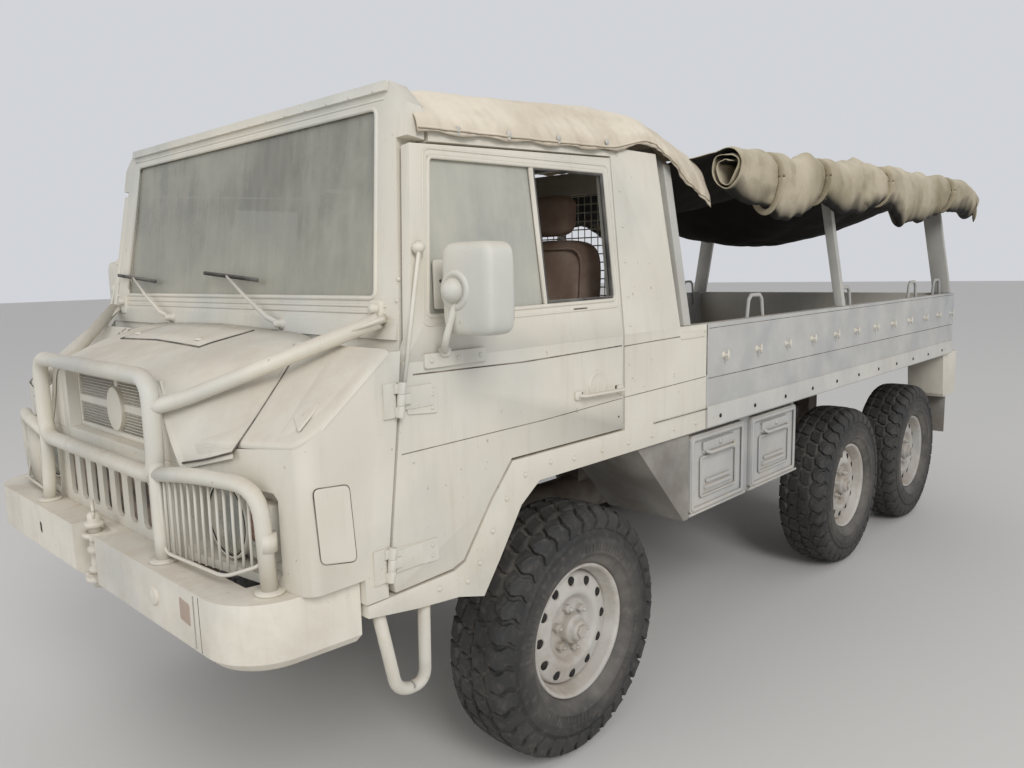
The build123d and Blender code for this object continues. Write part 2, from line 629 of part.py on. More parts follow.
with BuildPart() as screen_frame:
    with BuildSketch(screen_plane()):
        with BuildLine():
            foot_half, head_half = lean_y(SCREEN_FOOT_Z) - PILLAR_INSET, lean_y(HEAD_Z) - PILLAR_INSET
            right_edge = ((foot_half, 0), (head_half, up_screen(HEAD_Z)), (lean_y(HEAD_Z), up_screen(HEAD_Z + 2)),
                          (lean_y(SCREEN_TOP_Z - 60), up_screen(SCREEN_TOP_Z - 60)), (HEADER_HALF, up_screen(SCREEN_TOP_Z)))
            Polyline(*right_edge, *[(-y, up) for y, up in reversed(right_edge)], close=True)
        make_face()
        with BuildLine():
            Polyline((-PANE_HALF[0], up_screen(PANE_Z[0])), (PANE_HALF[0], up_screen(PANE_Z[0])),
                     (PANE_HALF[1], up_screen(PANE_Z[1])), (-PANE_HALF[1], up_screen(PANE_Z[1])), close=True)
        make_face(mode=Mode.SUBTRACT)
    extrude(amount=-SCREEN_T)
    with BuildSketch(screen_plane()):
        with Locations((0, up_screen(SCREEN_TOP_Z) - 12)):
            Rectangle(2 * HEADER_HALF - 10, 24)
    extrude(amount=9)
    with BuildSketch(screen_plane()):
        with Locations((0, up_screen(1400))):
            Rectangle(2 * foot_half - 20, 46)
    extrude(amount=7)
    for base_y in WIPER_BASES:
        foot = up_screen(1400)
        tip_y, tip = base_y - 298, up_screen(1532)
        with BuildSketch(screen_plane()):
            with Locations((base_y, foot)):
                RegularPolygon(16, TUBE_FACETS)
        extrude(amount=30)
        with BuildSketch(screen_plane(-14)):
            with BuildLine():
                Polyline((base_y + 4, foot - 9), (base_y + 4, foot + 9), (tip_y, tip + 5), (tip_y - 4, tip - 5), close=True)
            make_face()
        extrude(amount=9)
        with BuildSketch(screen_plane(PANE_T - 12 + RUN)):
            with BuildLine():
                Polyline((tip_y - 160, tip + 14), (tip_y + 170, tip - 16), (tip_y + 170, tip - 4), (tip_y - 160, tip + 26), close=True)
            make_face()
        extrude(amount=16)
save(screen_frame.part, "windscreen_frame")

with BuildPart() as pane:
    with BuildSketch(screen_plane(12)):
        with BuildLine():
            Polyline((-PANE_HALF[0], up_screen(PANE_Z[0])), (PANE_HALF[0], up_screen(PANE_Z[0])),
                     (PANE_HALF[1], up_screen(PANE_Z[1])), (-PANE_HALF[1], up_screen(PANE_Z[1])), close=True)
        make_face()
    extrude(amount=PANE_T)
save(pane.part, "windscreen_glass")

# Cab tub: footwell, front wall, seat deck, engine cover and seat boxes, one welded piece
TUB_HALF = BODY_HALF - PANEL - 0.3
TUB_T = 26
FIREWALL_X = 722
RISER_X = 402
TUB_REAR = CAB_REAR_X + 4
COVER_HALF = ENGINE_HALF + 60
SEAT_Y = 530
SEAT_W = 440
SEAT_BOX_Z = 1105
with BuildPart() as tub:
    with BuildSketch(side_plane(TUB_HALF)):
        with BuildLine():
            Polyline((TUB_REAR, DECK_Z), (RISER_X, DECK_Z), (RISER_X, FLOOR_Z), (FIREWALL_X, FLOOR_Z), (FIREWALL_X, COWL_Z - RUN),
                     (BONNET_REAR - 2, COWL_Z - RUN), (BONNET_REAR - 2, SCREEN_FOOT_Z - 1.5), (FIREWALL_X - TUB_T, SCREEN_FOOT_Z - 1.5), (FIREWALL_X - TUB_T, FLOOR_Z + TUB_T), (RISER_X + TUB_T, FLOOR_Z + TUB_T),
                     (RISER_X + TUB_T, DECK_Z + TUB_T), (TUB_REAR, DECK_Z + TUB_T), close=True)
        make_face()
    extrude(amount=2 * TUB_HALF)
    add(block((BEAM_STATIONS[0] + 20, FIREWALL_X - TUB_T), (-COVER_HALF, COVER_HALF), (FLOOR_Z, 1130)))
    cover_inside = block((BEAM_STATIONS[0] + 60, FIREWALL_X + 1), (-COVER_HALF + TUB_T, COVER_HALF - TUB_T), (FLOOR_Z - 1, 1130 - TUB_T))
    add(cover_inside, mode=Mode.SUBTRACT)
    under_deck = block((BEAM_STATIONS[0] - 1, RISER_X), (-COVER_HALF - 1, COVER_HALF + 1), (FLOOR_Z - 1, DECK_Z))
    add(under_deck, mode=Mode.SUBTRACT)
    for hand in (1, -1):
        add(block((-300, 220), (hand * SEAT_Y - 190, hand * SEAT_Y + 190), (DECK_Z + TUB_T, SEAT_BOX_Z)))
save(tub.part, "cab_tub")

# Dashboard with its column and steering wheel, which is a small control and has no joint
DASH_Z = (1130, 1326)
WHEEL_TILT = 42
STEER_R = 195
with BuildPart() as dash:
    with BuildSketch(side_plane(TUB_HALF - 6)):
        with BuildLine():
            Polyline((FIREWALL_X - TUB_T - RUN, DASH_Z[0]), (560, DASH_Z[0] + 30), (530, DASH_Z[1] - 60), (560, DASH_Z[1]),
                     (FIREWALL_X - TUB_T - RUN, DASH_Z[1]), close=True)
        make_face()
    extrude(amount=2 * (TUB_HALF - 6))
    hub = at(418, SEAT_Y, 1318)
    lean_back = Vector(-cos(radians(WHEEL_TILT)), 0, sin(radians(WHEEL_TILT)))
    with BuildSketch(Plane(origin=hub, z_dir=lean_back)):
        Circle(30)
    extrude(amount=-190)
    rim_plane = Plane(origin=hub, x_dir=(0, 1, 0), z_dir=lean_back)
    with BuildSketch(rim_plane):
        Circle(STEER_R + 12)
        Circle(STEER_R - 12, mode=Mode.SUBTRACT)
        Circle(44)
        with PolarLocations(STEER_R / 2, 3, start_angle=90):
            Rectangle(STEER_R, 34)
    extrude(amount=22)
save(dash.part, "dashboard")

# Cab sides: sill and arch edge, rear quarter, roof rail and the step under the sill
DOOR_REAR = -135
DOOR_TOP_V = SCREEN_TOP_Z - 1483
ARCH = ((487, 693), (427, 774), (337, 904), (261, RAIL_Z))
DOOR_FOOT = ((781, 794), (595, 799), (556, 812), (456, 946), (372, RAIL_TOP_Z), (DOOR_REAR, RAIL_TOP_Z))
QUARTER_TOP = ((DOOR_REAR - 34, DOOR_TOP_V + 64), (-420, DOOR_TOP_V + 64))
ROOF_RAIL_V = (DOOR_TOP_V + 28, DOOR_TOP_V + 52)
STEP_R = 15
with BuildPart() as cab_sides:
    with BuildSketch(side_plane(BODY_HALF)):
        with BuildLine():
            Polyline((BUMPER_END - 6, 757), (705, 733), (574, 719), *ARCH, (CAB_REAR_X, RAIL_Z), (CAB_REAR_X, BELT_Z),
                     (DOOR_REAR - SHUT, BELT_Z), (DOOR_REAR - SHUT, RAIL_TOP_Z - SHUT), (368, RAIL_TOP_Z - SHUT),
                     (449, 941), (550, 805), (590, 791), (BUMPER_END - 6, 786), close=True)
        make_face()
    extrude(amount=PANEL)
    with BuildSketch(lean_plane()):
        with BuildLine():
            Polyline((DOOR_REAR - SHUT, -3), *QUARTER_TOP, (-462, -3), close=True)
        make_face()
    extrude(amount=PANEL - 6)
    with BuildSketch(lean_plane()):
        with BuildLine():
            Polyline((-172, ROOF_RAIL_V[0] + 8), (-420, ROOF_RAIL_V[0]), (-420, ROOF_RAIL_V[1]), (566, ROOF_RAIL_V[1]),
                     (566, ROOF_RAIL_V[0] - 19), close=True)
        make_face()
    extrude(amount=PANEL - 6)
    add(tube(((812, BODY_HALF - 24, 750), (742, BODY_HALF - 54, 512), (652, BODY_HALF - 54, 503), (672, BODY_HALF - 24, 728)), STEP_R, 32))
    mirror(about=Plane.XZ)
save(cab_sides.part, "cab_sides")

# Cab rear panel: lower wall, posts and a barred opening
REAR_WALL_X = -470
REAR_WALL_T = 28
REAR_HOLE_Z = (1400, SCREEN_TOP_Z - 191)
REAR_HOLE_HALF = 640
with BuildPart() as rear_panel:
    deck_top = DECK_Z + TUB_T + RUN
    wall_top = SCREEN_TOP_Z - 111
    with BuildSketch(cross_plane(REAR_WALL_X)):
        with BuildLine():
            inset = PANEL + 10
            Polyline((-BODY_HALF + inset, deck_top), (BODY_HALF - inset, deck_top), (BODY_HALF - inset, BELT_Z),
                     (lean_y(wall_top) - inset, wall_top), (inset - lean_y(wall_top), wall_top), (inset - BODY_HALF, BELT_Z),
                     close=True)
        make_face()
        with Locations((0, sum(REAR_HOLE_Z) / 2)):
            Rectangle(2 * REAR_HOLE_HALF, REAR_HOLE_Z[1] - REAR_HOLE_Z[0], mode=Mode.SUBTRACT)
            with GridLocations(REAR_HOLE_HALF, 1, 3, 1):
                Rectangle(26, REAR_HOLE_Z[1] - REAR_HOLE_Z[0])
    extrude(amount=-REAR_WALL_T)
save(rear_panel.part, "cab_rear_panel")

# Doors: a lower panel, a leaning window frame with the rear half open, handle and hinges
DOOR_FRONT = ((786, 846), (732, 1274), (724, BELT_Z))
WINDOW = ((DOOR_REAR + 24, 107), (634, 99), (574, DOOR_TOP_V - 27), (DOOR_REAR + 10, DOOR_TOP_V - 15))
WINDOW_DIVIDE = 206
HANDLE_X = (-118, 92)
HANDLE_Z = 1170
with BuildPart() as door:
    with BuildSketch(side_plane(BODY_HALF)):
        with BuildLine():
            Polyline(*DOOR_FRONT, (DOOR_REAR, BELT_Z), *reversed(DOOR_FOOT[1:]), (774, 794), close=True)
        make_face()
    extrude(amount=DOOR_T)
    with BuildSketch(lean_plane()):
        with BuildLine():
            Polyline((722, -3), (714, 20), (694, 52), (628, DOOR_TOP_V), (DOOR_REAR - 28, DOOR_TOP_V + 30), (DOOR_REAR, -3),
                     close=True)
        make_face()
        with BuildLine():
            Polyline(*WINDOW, close=True)
        make_face(mode=Mode.SUBTRACT)
        with BuildLine():
            strip_top = DOOR_TOP_V - 8
            Polyline((WINDOW_DIVIDE - 5, 90), (WINDOW_DIVIDE + 5, 90), (WINDOW_DIVIDE + 3, strip_top),
                     (WINDOW_DIVIDE - 7, strip_top), close=True)
        make_face()
    extrude(amount=DOOR_T - 8)
    add(block(HANDLE_X, (BODY_HALF + 14, BODY_HALF + 26), (HANDLE_Z - 12, HANDLE_Z + 12)))
    for x in (HANDLE_X[0] + 14, HANDLE_X[1] - 14):
        add(block((x - 12, x + 12), (BODY_HALF - 2, BODY_HALF + 15), (HANDLE_Z - 9, HANDLE_Z + 9)))
    for x, z in (HINGE_HIGH, HINGE_LOW):
        add(block((x - 100, x - 18), (BODY_HALF - 1, BODY_HALF + 6), (z - 26, z + 26)))
        add(rod((x + 13 * HINGE_SLOPE, HINGE_Y, z - 13), (x - 13 * HINGE_SLOPE, HINGE_Y, z + 13), HINGE_R))
        add(block((x - 30, x), (BODY_HALF + 1, HINGE_Y), (z - 12, z + 12)))

with BuildPart() as door_glass:
    with BuildSketch(lean_plane(12)):
        with BuildLine():
            Polyline((WINDOW_DIVIDE + 5.6, 104.2), (633, 100), (573.6, DOOR_TOP_V - 28), (WINDOW_DIVIDE + 3.8, DOOR_TOP_V - 22),
                     close=True)
        make_face()
    extrude(amount=5)

# Mirrors: a rounded head on a ball, and an arm from a bracket under the window
MIRROR_Y = (BODY_HALF + 24, BODY_HALF + 194)
MIRROR_Z = (1388, 1602)
MIRROR_X = (548, 600)
with BuildPart() as mirror_left:
    with BuildSketch(cross_plane(MIRROR_X[0])) as mirror_head:
        with Locations((sum(MIRROR_Y) / 2, sum(MIRROR_Z) / 2)):
            Rectangle(MIRROR_Y[1] - MIRROR_Y[0], MIRROR_Z[1] - MIRROR_Z[0])
        chamfer(mirror_head.vertices(), 16)
    extrude(amount=MIRROR_X[1] - MIRROR_X[0])
    chamfer(mirror_left.faces().sort_by(Axis.X)[-1].edges(), 14)
    add(block((458, 650), (BODY_HALF + 0.6, BODY_HALF + 8), (BELT_Z - 26, BELT_Z - 2)))
    add(block((500, 640), (BODY_HALF + 1, BODY_HALF + 30), (BELT_Z - 14, BELT_Z - 2)))
    ball_y, ball_z = BODY_HALF + 68, sum(MIRROR_Z) / 2 - 5
    add(rod((628, BODY_HALF + 16, BELT_Z - 6), (622, ball_y - 3, ball_z - 8), 10, TUBE_FACETS))
    add(rod((592, ball_y, ball_z), (626, ball_y, ball_z), 26, TUBE_FACETS))

for side, hand in SIDES:
    for name, piece in (("door", door), ("door_glass", door_glass), ("mirror", mirror_left)):
        finished = piece.part if hand > 0 else mirror(piece.part, about=Plane.XZ)
        save(finished, f"{name}_{side}")

# Seats: cushion, back and headrest, soft solids on the seat boxes
SEAT_TOP = 1225
with BuildPart() as seats:
    with BuildSketch(side_plane(SEAT_Y + SEAT_W / 2)):
        with BuildLine():
            Polyline((-262, SEAT_BOX_Z + RUN), (215, SEAT_BOX_Z + RUN), (250, SEAT_TOP - 30), (225, SEAT_TOP), (-130, SEAT_TOP - 25),
                     (-190, 1620), (-215, 1640), (-300, 1640), (-318, 1610), close=True)
        make_face()
    extrude(amount=SEAT_W)
    add(block((-292, -198), (SEAT_Y - 130, SEAT_Y + 130), (1635, 1772)))
    mirror(about=Plane.XZ)
save(seats.part, "seats")

# Cab canvas: one open shell over the roof rails, sloping down behind the cab
CANVAS_T = 10
CANVAS_FRONT = 600
CANVAS_ROWS = (
    # x, crown and shoulder over the screen's top, shoulder inside the belt's width, hem under the screen's top
    (CANVAS_FRONT, 5, -7, 154, 133),
    (-170, 61, 45, 148, 93),
    (-366, 69, 53, 148, 55),
    (-480, 39, 21, 144, 101),
    (-609, -1, -17, 136, 209),
    (-700, -29, -41, 130, 225),
)


def canvas_form(inset, low):
    with BuildPart(mode=Mode.PRIVATE) as form:
        for x, crown_up, shoulder_up, shoulder_in, hem_down in CANVAS_ROWS:
            crown, shoulder, hem = SCREEN_TOP_Z + crown_up, SCREEN_TOP_Z + shoulder_up, SCREEN_TOP_Z - hem_down
            shoulder_y, hem_y = BODY_HALF - shoulder_in, lean_y(hem) + 10
            with BuildSketch(cross_plane(x)):
                with BuildLine():
                    Polyline((-hem_y + inset, hem - low), (-hem_y + inset, hem + 60 - inset), (-shoulder_y + inset, shoulder - inset),
                             (0, crown - inset), (shoulder_y - inset, shoulder - inset), (hem_y - inset, hem + 60 - inset),
                             (hem_y - inset, hem - low), close=True)
                make_face()
        loft(ruled=True)
    return form.part


with BuildPart() as canvas:
    add(canvas_form(0, 0))
    add(canvas_form(CANVAS_T, 30), mode=Mode.SUBTRACT)
    split(bisect_by=screen_plane(SCREEN_T + RUN), keep=Keep.BOTTOM)
save(canvas.part, "cab_canvas")

# Bed: floor, sides with their rails and tube handles, tailgate
BED_HALF = BODY_HALF - 42
with BuildPart() as bed_floor:
    add(block((BED_REAR_X, CAB_REAR_X - 4), (-BED_HALF, BED_HALF), (BED_FLOOR_Z, BED_FLOOR_Z + BED_FLOOR_T)))
save(bed_floor.part, "bed_floor")

HANDLE_ROWS = (CAB_REAR_X - 450, MID_X + 200, BED_REAR_X + 625, BED_REAR_X + 180)
HANDLE_R = 8
SIDE_REAR_X = BED_REAR_X - 40
with BuildPart() as bed_sides:
    add(block((SIDE_REAR_X, CAB_REAR_X - 3), (BED_HALF + 2, BODY_HALF), (RAIL_TOP_Z, BELT_Z)))
    add(block((SIDE_REAR_X, CAB_REAR_X - 3), (BED_HALF + 0.5, BODY_HALF + 4), (RAIL_Z, RAIL_TOP_Z)))
    for x in HANDLE_ROWS:
        handle_y = BED_HALF - 4
        grip = [(x + along, handle_y, BELT_Z + up) for along, up in ((-80, -90), (-52, 84), (52, 84), (80, -90))]
        add(tube(grip, HANDLE_R, 18))
    mirror(about=Plane.XZ)
save(bed_sides.part, "bed_sides")

GATE_T = 34
GATE_X = BED_REAR_X - 6 - GATE_T
GATE_Z = (BED_FLOOR_Z + BED_FLOOR_T + 2, BELT_Z)
GATE_PIN = (GATE_X - 9, GATE_Z[0] + 4)
GATE_HINGES = (-560, 0, 560)
BARREL_HALF = 40
with BuildPart() as gate:
    add(block((GATE_X, GATE_X + GATE_T), (-BED_HALF + 6, BED_HALF - 6), GATE_Z))
    for y in GATE_HINGES:
        add(rod((GATE_PIN[0], y - BARREL_HALF, GATE_PIN[1]), (GATE_PIN[0], y + BARREL_HALF, GATE_PIN[1]), 9))
        add(block((GATE_X - 12, GATE_X + 1), (y - BARREL_HALF, y + BARREL_HALF), (GATE_PIN[1], GATE_PIN[1] + 56)))
save(gate.part, "tailgate")

# Rear bumper: cross beam with the tailgate's hinge lugs, coupling and two corner boxes
REAR_BEAM_Z = (860, 946)
CORNER_BOX_Z = (677, RAIL_Z - 1)
CORNER_BOX_FRONT = BED_REAR_X + 50
COUPLING_PLATES = ((868, 884), (922, 938))
COUPLING_PIN_X = TAIL_X + 46
LUG_R = 7
LUG_W = 30
with BuildPart() as rear_bumper:
    add(block((GATE_X - 34, REAR_BEAM_FRONT), (60 - BODY_HALF, BODY_HALF - 60), REAR_BEAM_Z))
    for plate in COUPLING_PLATES:
        add(block((TAIL_X + 20, GATE_X - 30), (-60, 60), plate))
    add(rod((COUPLING_PIN_X, 0, COUPLING_PLATES[0][0] - 30), (COUPLING_PIN_X, 0, COUPLING_PLATES[1][1] + 24), 14))
    for y in GATE_HINGES:
        for start_y in (y - BARREL_HALF - RUN - LUG_W, y + BARREL_HALF + RUN):
            lug_end = (GATE_PIN[0], start_y + LUG_W, GATE_PIN[1])
            add(rod((GATE_PIN[0], start_y, GATE_PIN[1]), lug_end, LUG_R, TUBE_FACETS))
            lug_x = (GATE_PIN[0] - LUG_R, GATE_PIN[0] + LUG_R)
            add(block(lug_x, (start_y, start_y + LUG_W), (REAR_BEAM_Z[1] - 1, GATE_PIN[1])))
    for hand in (1, -1):
        with BuildSketch(side_plane(hand * (BODY_HALF - 124) + 104)):
            with BuildLine():
                Polyline((TAIL_X, CORNER_BOX_Z[1]), (CORNER_BOX_FRONT, CORNER_BOX_Z[1]), (CORNER_BOX_FRONT - 40, CORNER_BOX_Z[0] + 20),
                         (CORNER_BOX_FRONT - 60, CORNER_BOX_Z[0]), (TAIL_X, CORNER_BOX_Z[0]), close=True)
            make_face()
        extrude(amount=208)
save(rear_bumper.part, "rear_bumper")

# Hoops: three bent frames that stand inside the bed's sides and carry the tarpaulin
HOOP_TOP = SCREEN_TOP_Z - 56
HOOP_ROWS = (
    # x, width along the truck, width across it
    (-520, 42, 30),
    (MID_X + 300, 34, 40),
    (BED_REAR_X + 25, 30, 96),
)
with BuildPart() as hoops:
    for x, along, across in HOOP_ROWS:
        with BuildSketch(cross_plane(x - along / 2)):
            with BuildLine():
                foot_y, head_y = lean_y(BELT_Z + 2) - 6, lean_y(HOOP_TOP) - 16
                Polyline((-foot_y, BELT_Z + RUN), (-head_y, HOOP_TOP - 60), (-head_y + 70, HOOP_TOP), (head_y - 70, HOOP_TOP),
                         (head_y, HOOP_TOP - 60), (foot_y, BELT_Z + RUN), (foot_y - across, BELT_Z + RUN),
                         (head_y - across, HOOP_TOP - 60 - 18), (head_y - 70 - across / 2, HOOP_TOP - 34),
                         (-head_y + 70 + across / 2, HOOP_TOP - 34), (-head_y + across, HOOP_TOP - 78), (-foot_y + across, BELT_Z + RUN),
                         close=True)
            make_face()
        extrude(amount=along)
save(hoops.part, "bed_hoops")

# Bed tarpaulin: a roof sheet on the hoops with a lumpy rolled side curtain tied along each edge
ROLL_Y = (BODY_HALF - 50, BODY_HALF + 100)
ROLL_CORNER = 0.3
TARP_FRONT = -705
TARP_ROWS = (
    # x, underside of the roll below the hoops' top, its top above it
    (TARP_FRONT, 183, 15),
    (-1150, 267, 37),
    (-1590, 153, 49),
    (MID_X + 300, 193, 57),
    (MID_X - 80, 135, 61),
    (MID_X - 280, 227, 71),
    (REAR_X + 100, 213, 87),
    (REAR_X - 220, 105, 81),
    (TAIL_X + 120, 139, 35),
)


def tarp_roll(hand):
    with BuildPart(mode=Mode.PRIVATE) as roll:
        for x, down, up in TARP_ROWS:
            with BuildSketch(cross_plane(x)):
                with BuildLine():
                    low, high = HOOP_TOP - down, HOOP_TOP + up
                    wide, tall = (ROLL_Y[1] - ROLL_Y[0]) * ROLL_CORNER, (high - low) * ROLL_CORNER
                    corners = ((ROLL_Y[0], low + tall), (ROLL_Y[0], high - tall), (ROLL_Y[0] + wide, high),
                               (ROLL_Y[1] - wide, high), (ROLL_Y[1], high - tall), (ROLL_Y[1], low + tall),
                               (ROLL_Y[1] - wide, low), (ROLL_Y[0] + wide, low))
                    Polyline(*[(hand * y, z) for y, z in corners], close=True)
                make_face()
        loft(ruled=True)
    return roll.part


with BuildPart() as tarp:
    for ends in ((TARP_ROWS[0], TARP_ROWS[3]), (TARP_ROWS[3], TARP_ROWS[-2])):
        for x, _, up in ends:
            with BuildSketch(cross_plane(x)):
                with BuildLine():
                    half_line = ((ROLL_Y[0] + 40, HOOP_TOP - 35), (ROLL_Y[0] + 40, HOOP_TOP + up - 14), (0, HOOP_TOP + up + 14))
                    Polyline((140 - BODY_HALF, HOOP_TOP + 0.4), (BODY_HALF - 140, HOOP_TOP + 0.4), *half_line,
                             *[(-y, z) for y, z in reversed(half_line[:2])], close=True)
                make_face()
        loft(ruled=True)
    for hand in (1, -1):
        add(tarp_roll(hand))
save(tarp.part, "bed_tarp")

# Lockers: one box a side with two bays, each closed by a drop-down lid
LOCKER_X = (-1448, -552)
LOCKER_Z = (640, BED_FLOOR_Z - 0.3)
LOCKER_DEPTH = 330
LOCKER_FACE = BODY_HALF - 38
LOCKER_WALL = 20
LID_T = 16
LID_BAYS = (("front", -970, -572), ("rear", -1436, -1030))
LID_Y = LOCKER_FACE + RUN
LID_Z = (LOCKER_Z[0] + 6, LOCKER_Z[1] - 22.7)
LID_PIN_Y = LID_Y + LID_T
LID_BARREL_R = 5
LID_LUG_W = 12
with BuildPart() as lockers:
    add(block(LOCKER_X, (LOCKER_FACE - LOCKER_DEPTH, LOCKER_FACE), LOCKER_Z))
    for _, x_low, x_high in LID_BAYS:
        bay = block((x_low + 12, x_high - 12), (LOCKER_FACE - LOCKER_DEPTH + LOCKER_WALL, LOCKER_FACE + 1),
                    (LOCKER_Z[0] + LOCKER_WALL, LOCKER_Z[1] - LOCKER_WALL))
        add(bay, mode=Mode.SUBTRACT)
        for lug_x in (x_low - RUN - LID_LUG_W, x_high + RUN):
            lug = (lug_x, lug_x + LID_LUG_W)
            add(block(lug, (LOCKER_FACE - 1, LID_PIN_Y), (LOCKER_Z[0], LID_Z[0])))
            add(rod((lug[0], LID_PIN_Y, LID_Z[0]), (lug[1], LID_PIN_Y, LID_Z[0]), LID_BARREL_R, TUBE_FACETS))
    mirror(about=Plane.XZ)
save(lockers.part, "lockers")

for name, x_low, x_high in LID_BAYS:
    centre_x, centre_z = (x_low + x_high) / 2, sum(LID_Z) / 2
    wide, tall = x_high - x_low, LID_Z[1] - LID_Z[0]
    with BuildPart() as lid:
        with BuildSketch(side_plane(LID_Y)) as lid_face:
            with Locations((centre_x, centre_z)):
                Rectangle(wide, tall)
            chamfer(lid_face.vertices().group_by(Axis.Z)[-1], 12)
        extrude(amount=-LID_T)
        with BuildSketch(side_plane(LID_Y + LID_T)):
            with Locations((centre_x, centre_z)):
                Rectangle(wide - 30, tall - 30)
        extrude(amount=6, mode=Mode.SUBTRACT)
        with BuildSketch(side_plane(LID_Y + LID_T - 6)):
            with Locations((centre_x, centre_z - 60)):
                Rectangle(wide * 0.5, 12)
            with Locations((centre_x, centre_z + 86)):
                Rectangle(wide * 0.56, 30)
                Rectangle(wide * 0.56 - 40, 10, mode=Mode.SUBTRACT)
        extrude(amount=-10)
        add(rod((x_low, LID_PIN_Y, LID_Z[0]), (x_high, LID_PIN_Y, LID_Z[0]), LID_BARREL_R))
    save(lid.part, f"locker_lid_{name}_left")
    save(mirror(lid.part, about=Plane.XZ), f"locker_lid_{name}_right")

# Mudguards: a wedge behind each front wheel and a flap behind each rear one
FLAP_X = REAR_X - TYRE_R - 124
with BuildPart() as mudguards:
    with BuildSketch(side_plane(BODY_HALF - 14)):
        with BuildLine():
            Polyline((-226, RAIL_Z - RUN), (-518, 640), (LOCKER_X[1] + 6, 640), (LOCKER_X[1] + 6, RAIL_Z - RUN), close=True)
        make_face()
    extrude(amount=330)
    with BuildSketch(side_plane(BODY_HALF - 30)):
        with BuildLine():
            Polyline((-292, RAIL_Z - 22), (-522, 690), (-522, RAIL_Z - 22), close=True)
        make_face()
    extrude(amount=330, mode=Mode.SUBTRACT)
    add(block((FLAP_X, FLAP_X + 10), (BODY_HALF - 340, BODY_HALF - 32), (440, CORNER_BOX_Z[0] - RUN)))
    mirror(about=Plane.XZ)
save(mudguards.part, "mudguards")
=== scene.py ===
import json

import bmesh
import bpy
import numpy as np
from mathutils import Matrix, Vector


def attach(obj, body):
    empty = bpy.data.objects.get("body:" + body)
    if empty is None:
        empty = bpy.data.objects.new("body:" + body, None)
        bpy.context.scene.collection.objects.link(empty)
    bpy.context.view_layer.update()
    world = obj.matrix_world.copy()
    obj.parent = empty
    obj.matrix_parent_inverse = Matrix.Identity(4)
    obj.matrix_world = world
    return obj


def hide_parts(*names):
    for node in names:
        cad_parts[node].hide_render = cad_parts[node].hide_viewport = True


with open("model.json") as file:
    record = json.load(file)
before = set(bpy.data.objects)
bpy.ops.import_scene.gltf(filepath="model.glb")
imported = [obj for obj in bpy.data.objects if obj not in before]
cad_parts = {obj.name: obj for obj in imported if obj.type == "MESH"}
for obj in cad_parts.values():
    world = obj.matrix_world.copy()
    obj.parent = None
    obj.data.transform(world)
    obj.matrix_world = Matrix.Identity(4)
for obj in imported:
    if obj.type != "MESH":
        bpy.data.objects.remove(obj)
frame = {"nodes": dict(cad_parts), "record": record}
nodes = frame["nodes"]
body_of = {node: body for body, members in frame["record"]["behaviour"]["bodies"].items() for node in members}
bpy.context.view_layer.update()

# Camera
# It stands where the photographer stood, off the left front corner at eye height, turned back
# along the truck and rolled a little. The lens gives the photograph's 1024 by 768 frame.
FRONT_AXLE_X = 1.350
EYE = Vector((FRONT_AXLE_X + 1.872, 2.330, 1.537))
YAW, PITCH, ROLL = np.radians((223.49, -8.18, -1.27))
FOCAL_PX = 799.1
PHOTO_WIDTH_PX = 1024
SENSOR_MM = 36.0
FARTHEST = 200.0
sight = Vector((np.cos(YAW) * np.cos(PITCH), np.sin(YAW) * np.cos(PITCH), np.sin(PITCH)))
level_right = sight.cross(Vector((0, 0, 1))).normalized()
level_up = level_right.cross(sight)
right = np.cos(ROLL) * level_right + np.sin(ROLL) * level_up
up = np.cos(ROLL) * level_up - np.sin(ROLL) * level_right
lens = bpy.data.cameras.new("viewpoint")
lens.sensor_width = SENSOR_MM
lens.sensor_fit = "HORIZONTAL"
lens.lens = FOCAL_PX / PHOTO_WIDTH_PX * SENSOR_MM
lens.clip_end = FARTHEST
viewpoint = bpy.data.objects.new("viewpoint", lens)
viewpoint.matrix_world = Matrix.Translation(EYE) @ Matrix((right, up, -sight)).transposed().to_4x4()
bpy.context.scene.collection.objects.link(viewpoint)
bpy.context.scene.camera = viewpoint


# Studio
# A pale floor far wider than the truck, a large soft lamp high on the left, a weaker one ahead and
# the world's even light. Nothing here belongs to the truck.
STUDIO_HALF = 60.0
FLOOR_COLOUR = (0.62, 0.60, 0.57, 1)
FLOOR_ROUGHNESS = 0.95
SKY_COLOUR = (0.80, 0.82, 0.86, 1)
SKY_STRENGTH = 0.80
TOUCHING = 1e-6


def grid(points, wrap_u=False, wrap_v=False, smooth=True):
    """A form over points[u, v]: quads join neighbours, and a wrapped way closes on itself.

    A form is (points, quads, smooth shading of each quad).
    """
    rows, columns = points.shape[:2]
    u = np.arange(rows if wrap_u else rows - 1)[:, None]
    v = np.arange(columns if wrap_v else columns - 1)[None, :]
    next_u, next_v = (u + 1) % rows, (v + 1) % columns
    corners = (u * columns + v, next_u * columns + v, next_u * columns + next_v, u * columns + next_v)
    quads = np.stack(corners, -1).reshape(-1, 4)
    return points.reshape(-1, 3), quads, np.full(len(quads), smooth)


def joined(*forms):
    """One form from several: the points in a row, and each form's quads moved up by the points before it."""
    before = np.cumsum([0] + [len(form[0]) for form in forms[:-1]])
    quads = np.concatenate([form[1] + start for form, start in zip(forms, before)])
    return np.concatenate([form[0] for form in forms]), quads, np.concatenate([form[2] for form in forms])


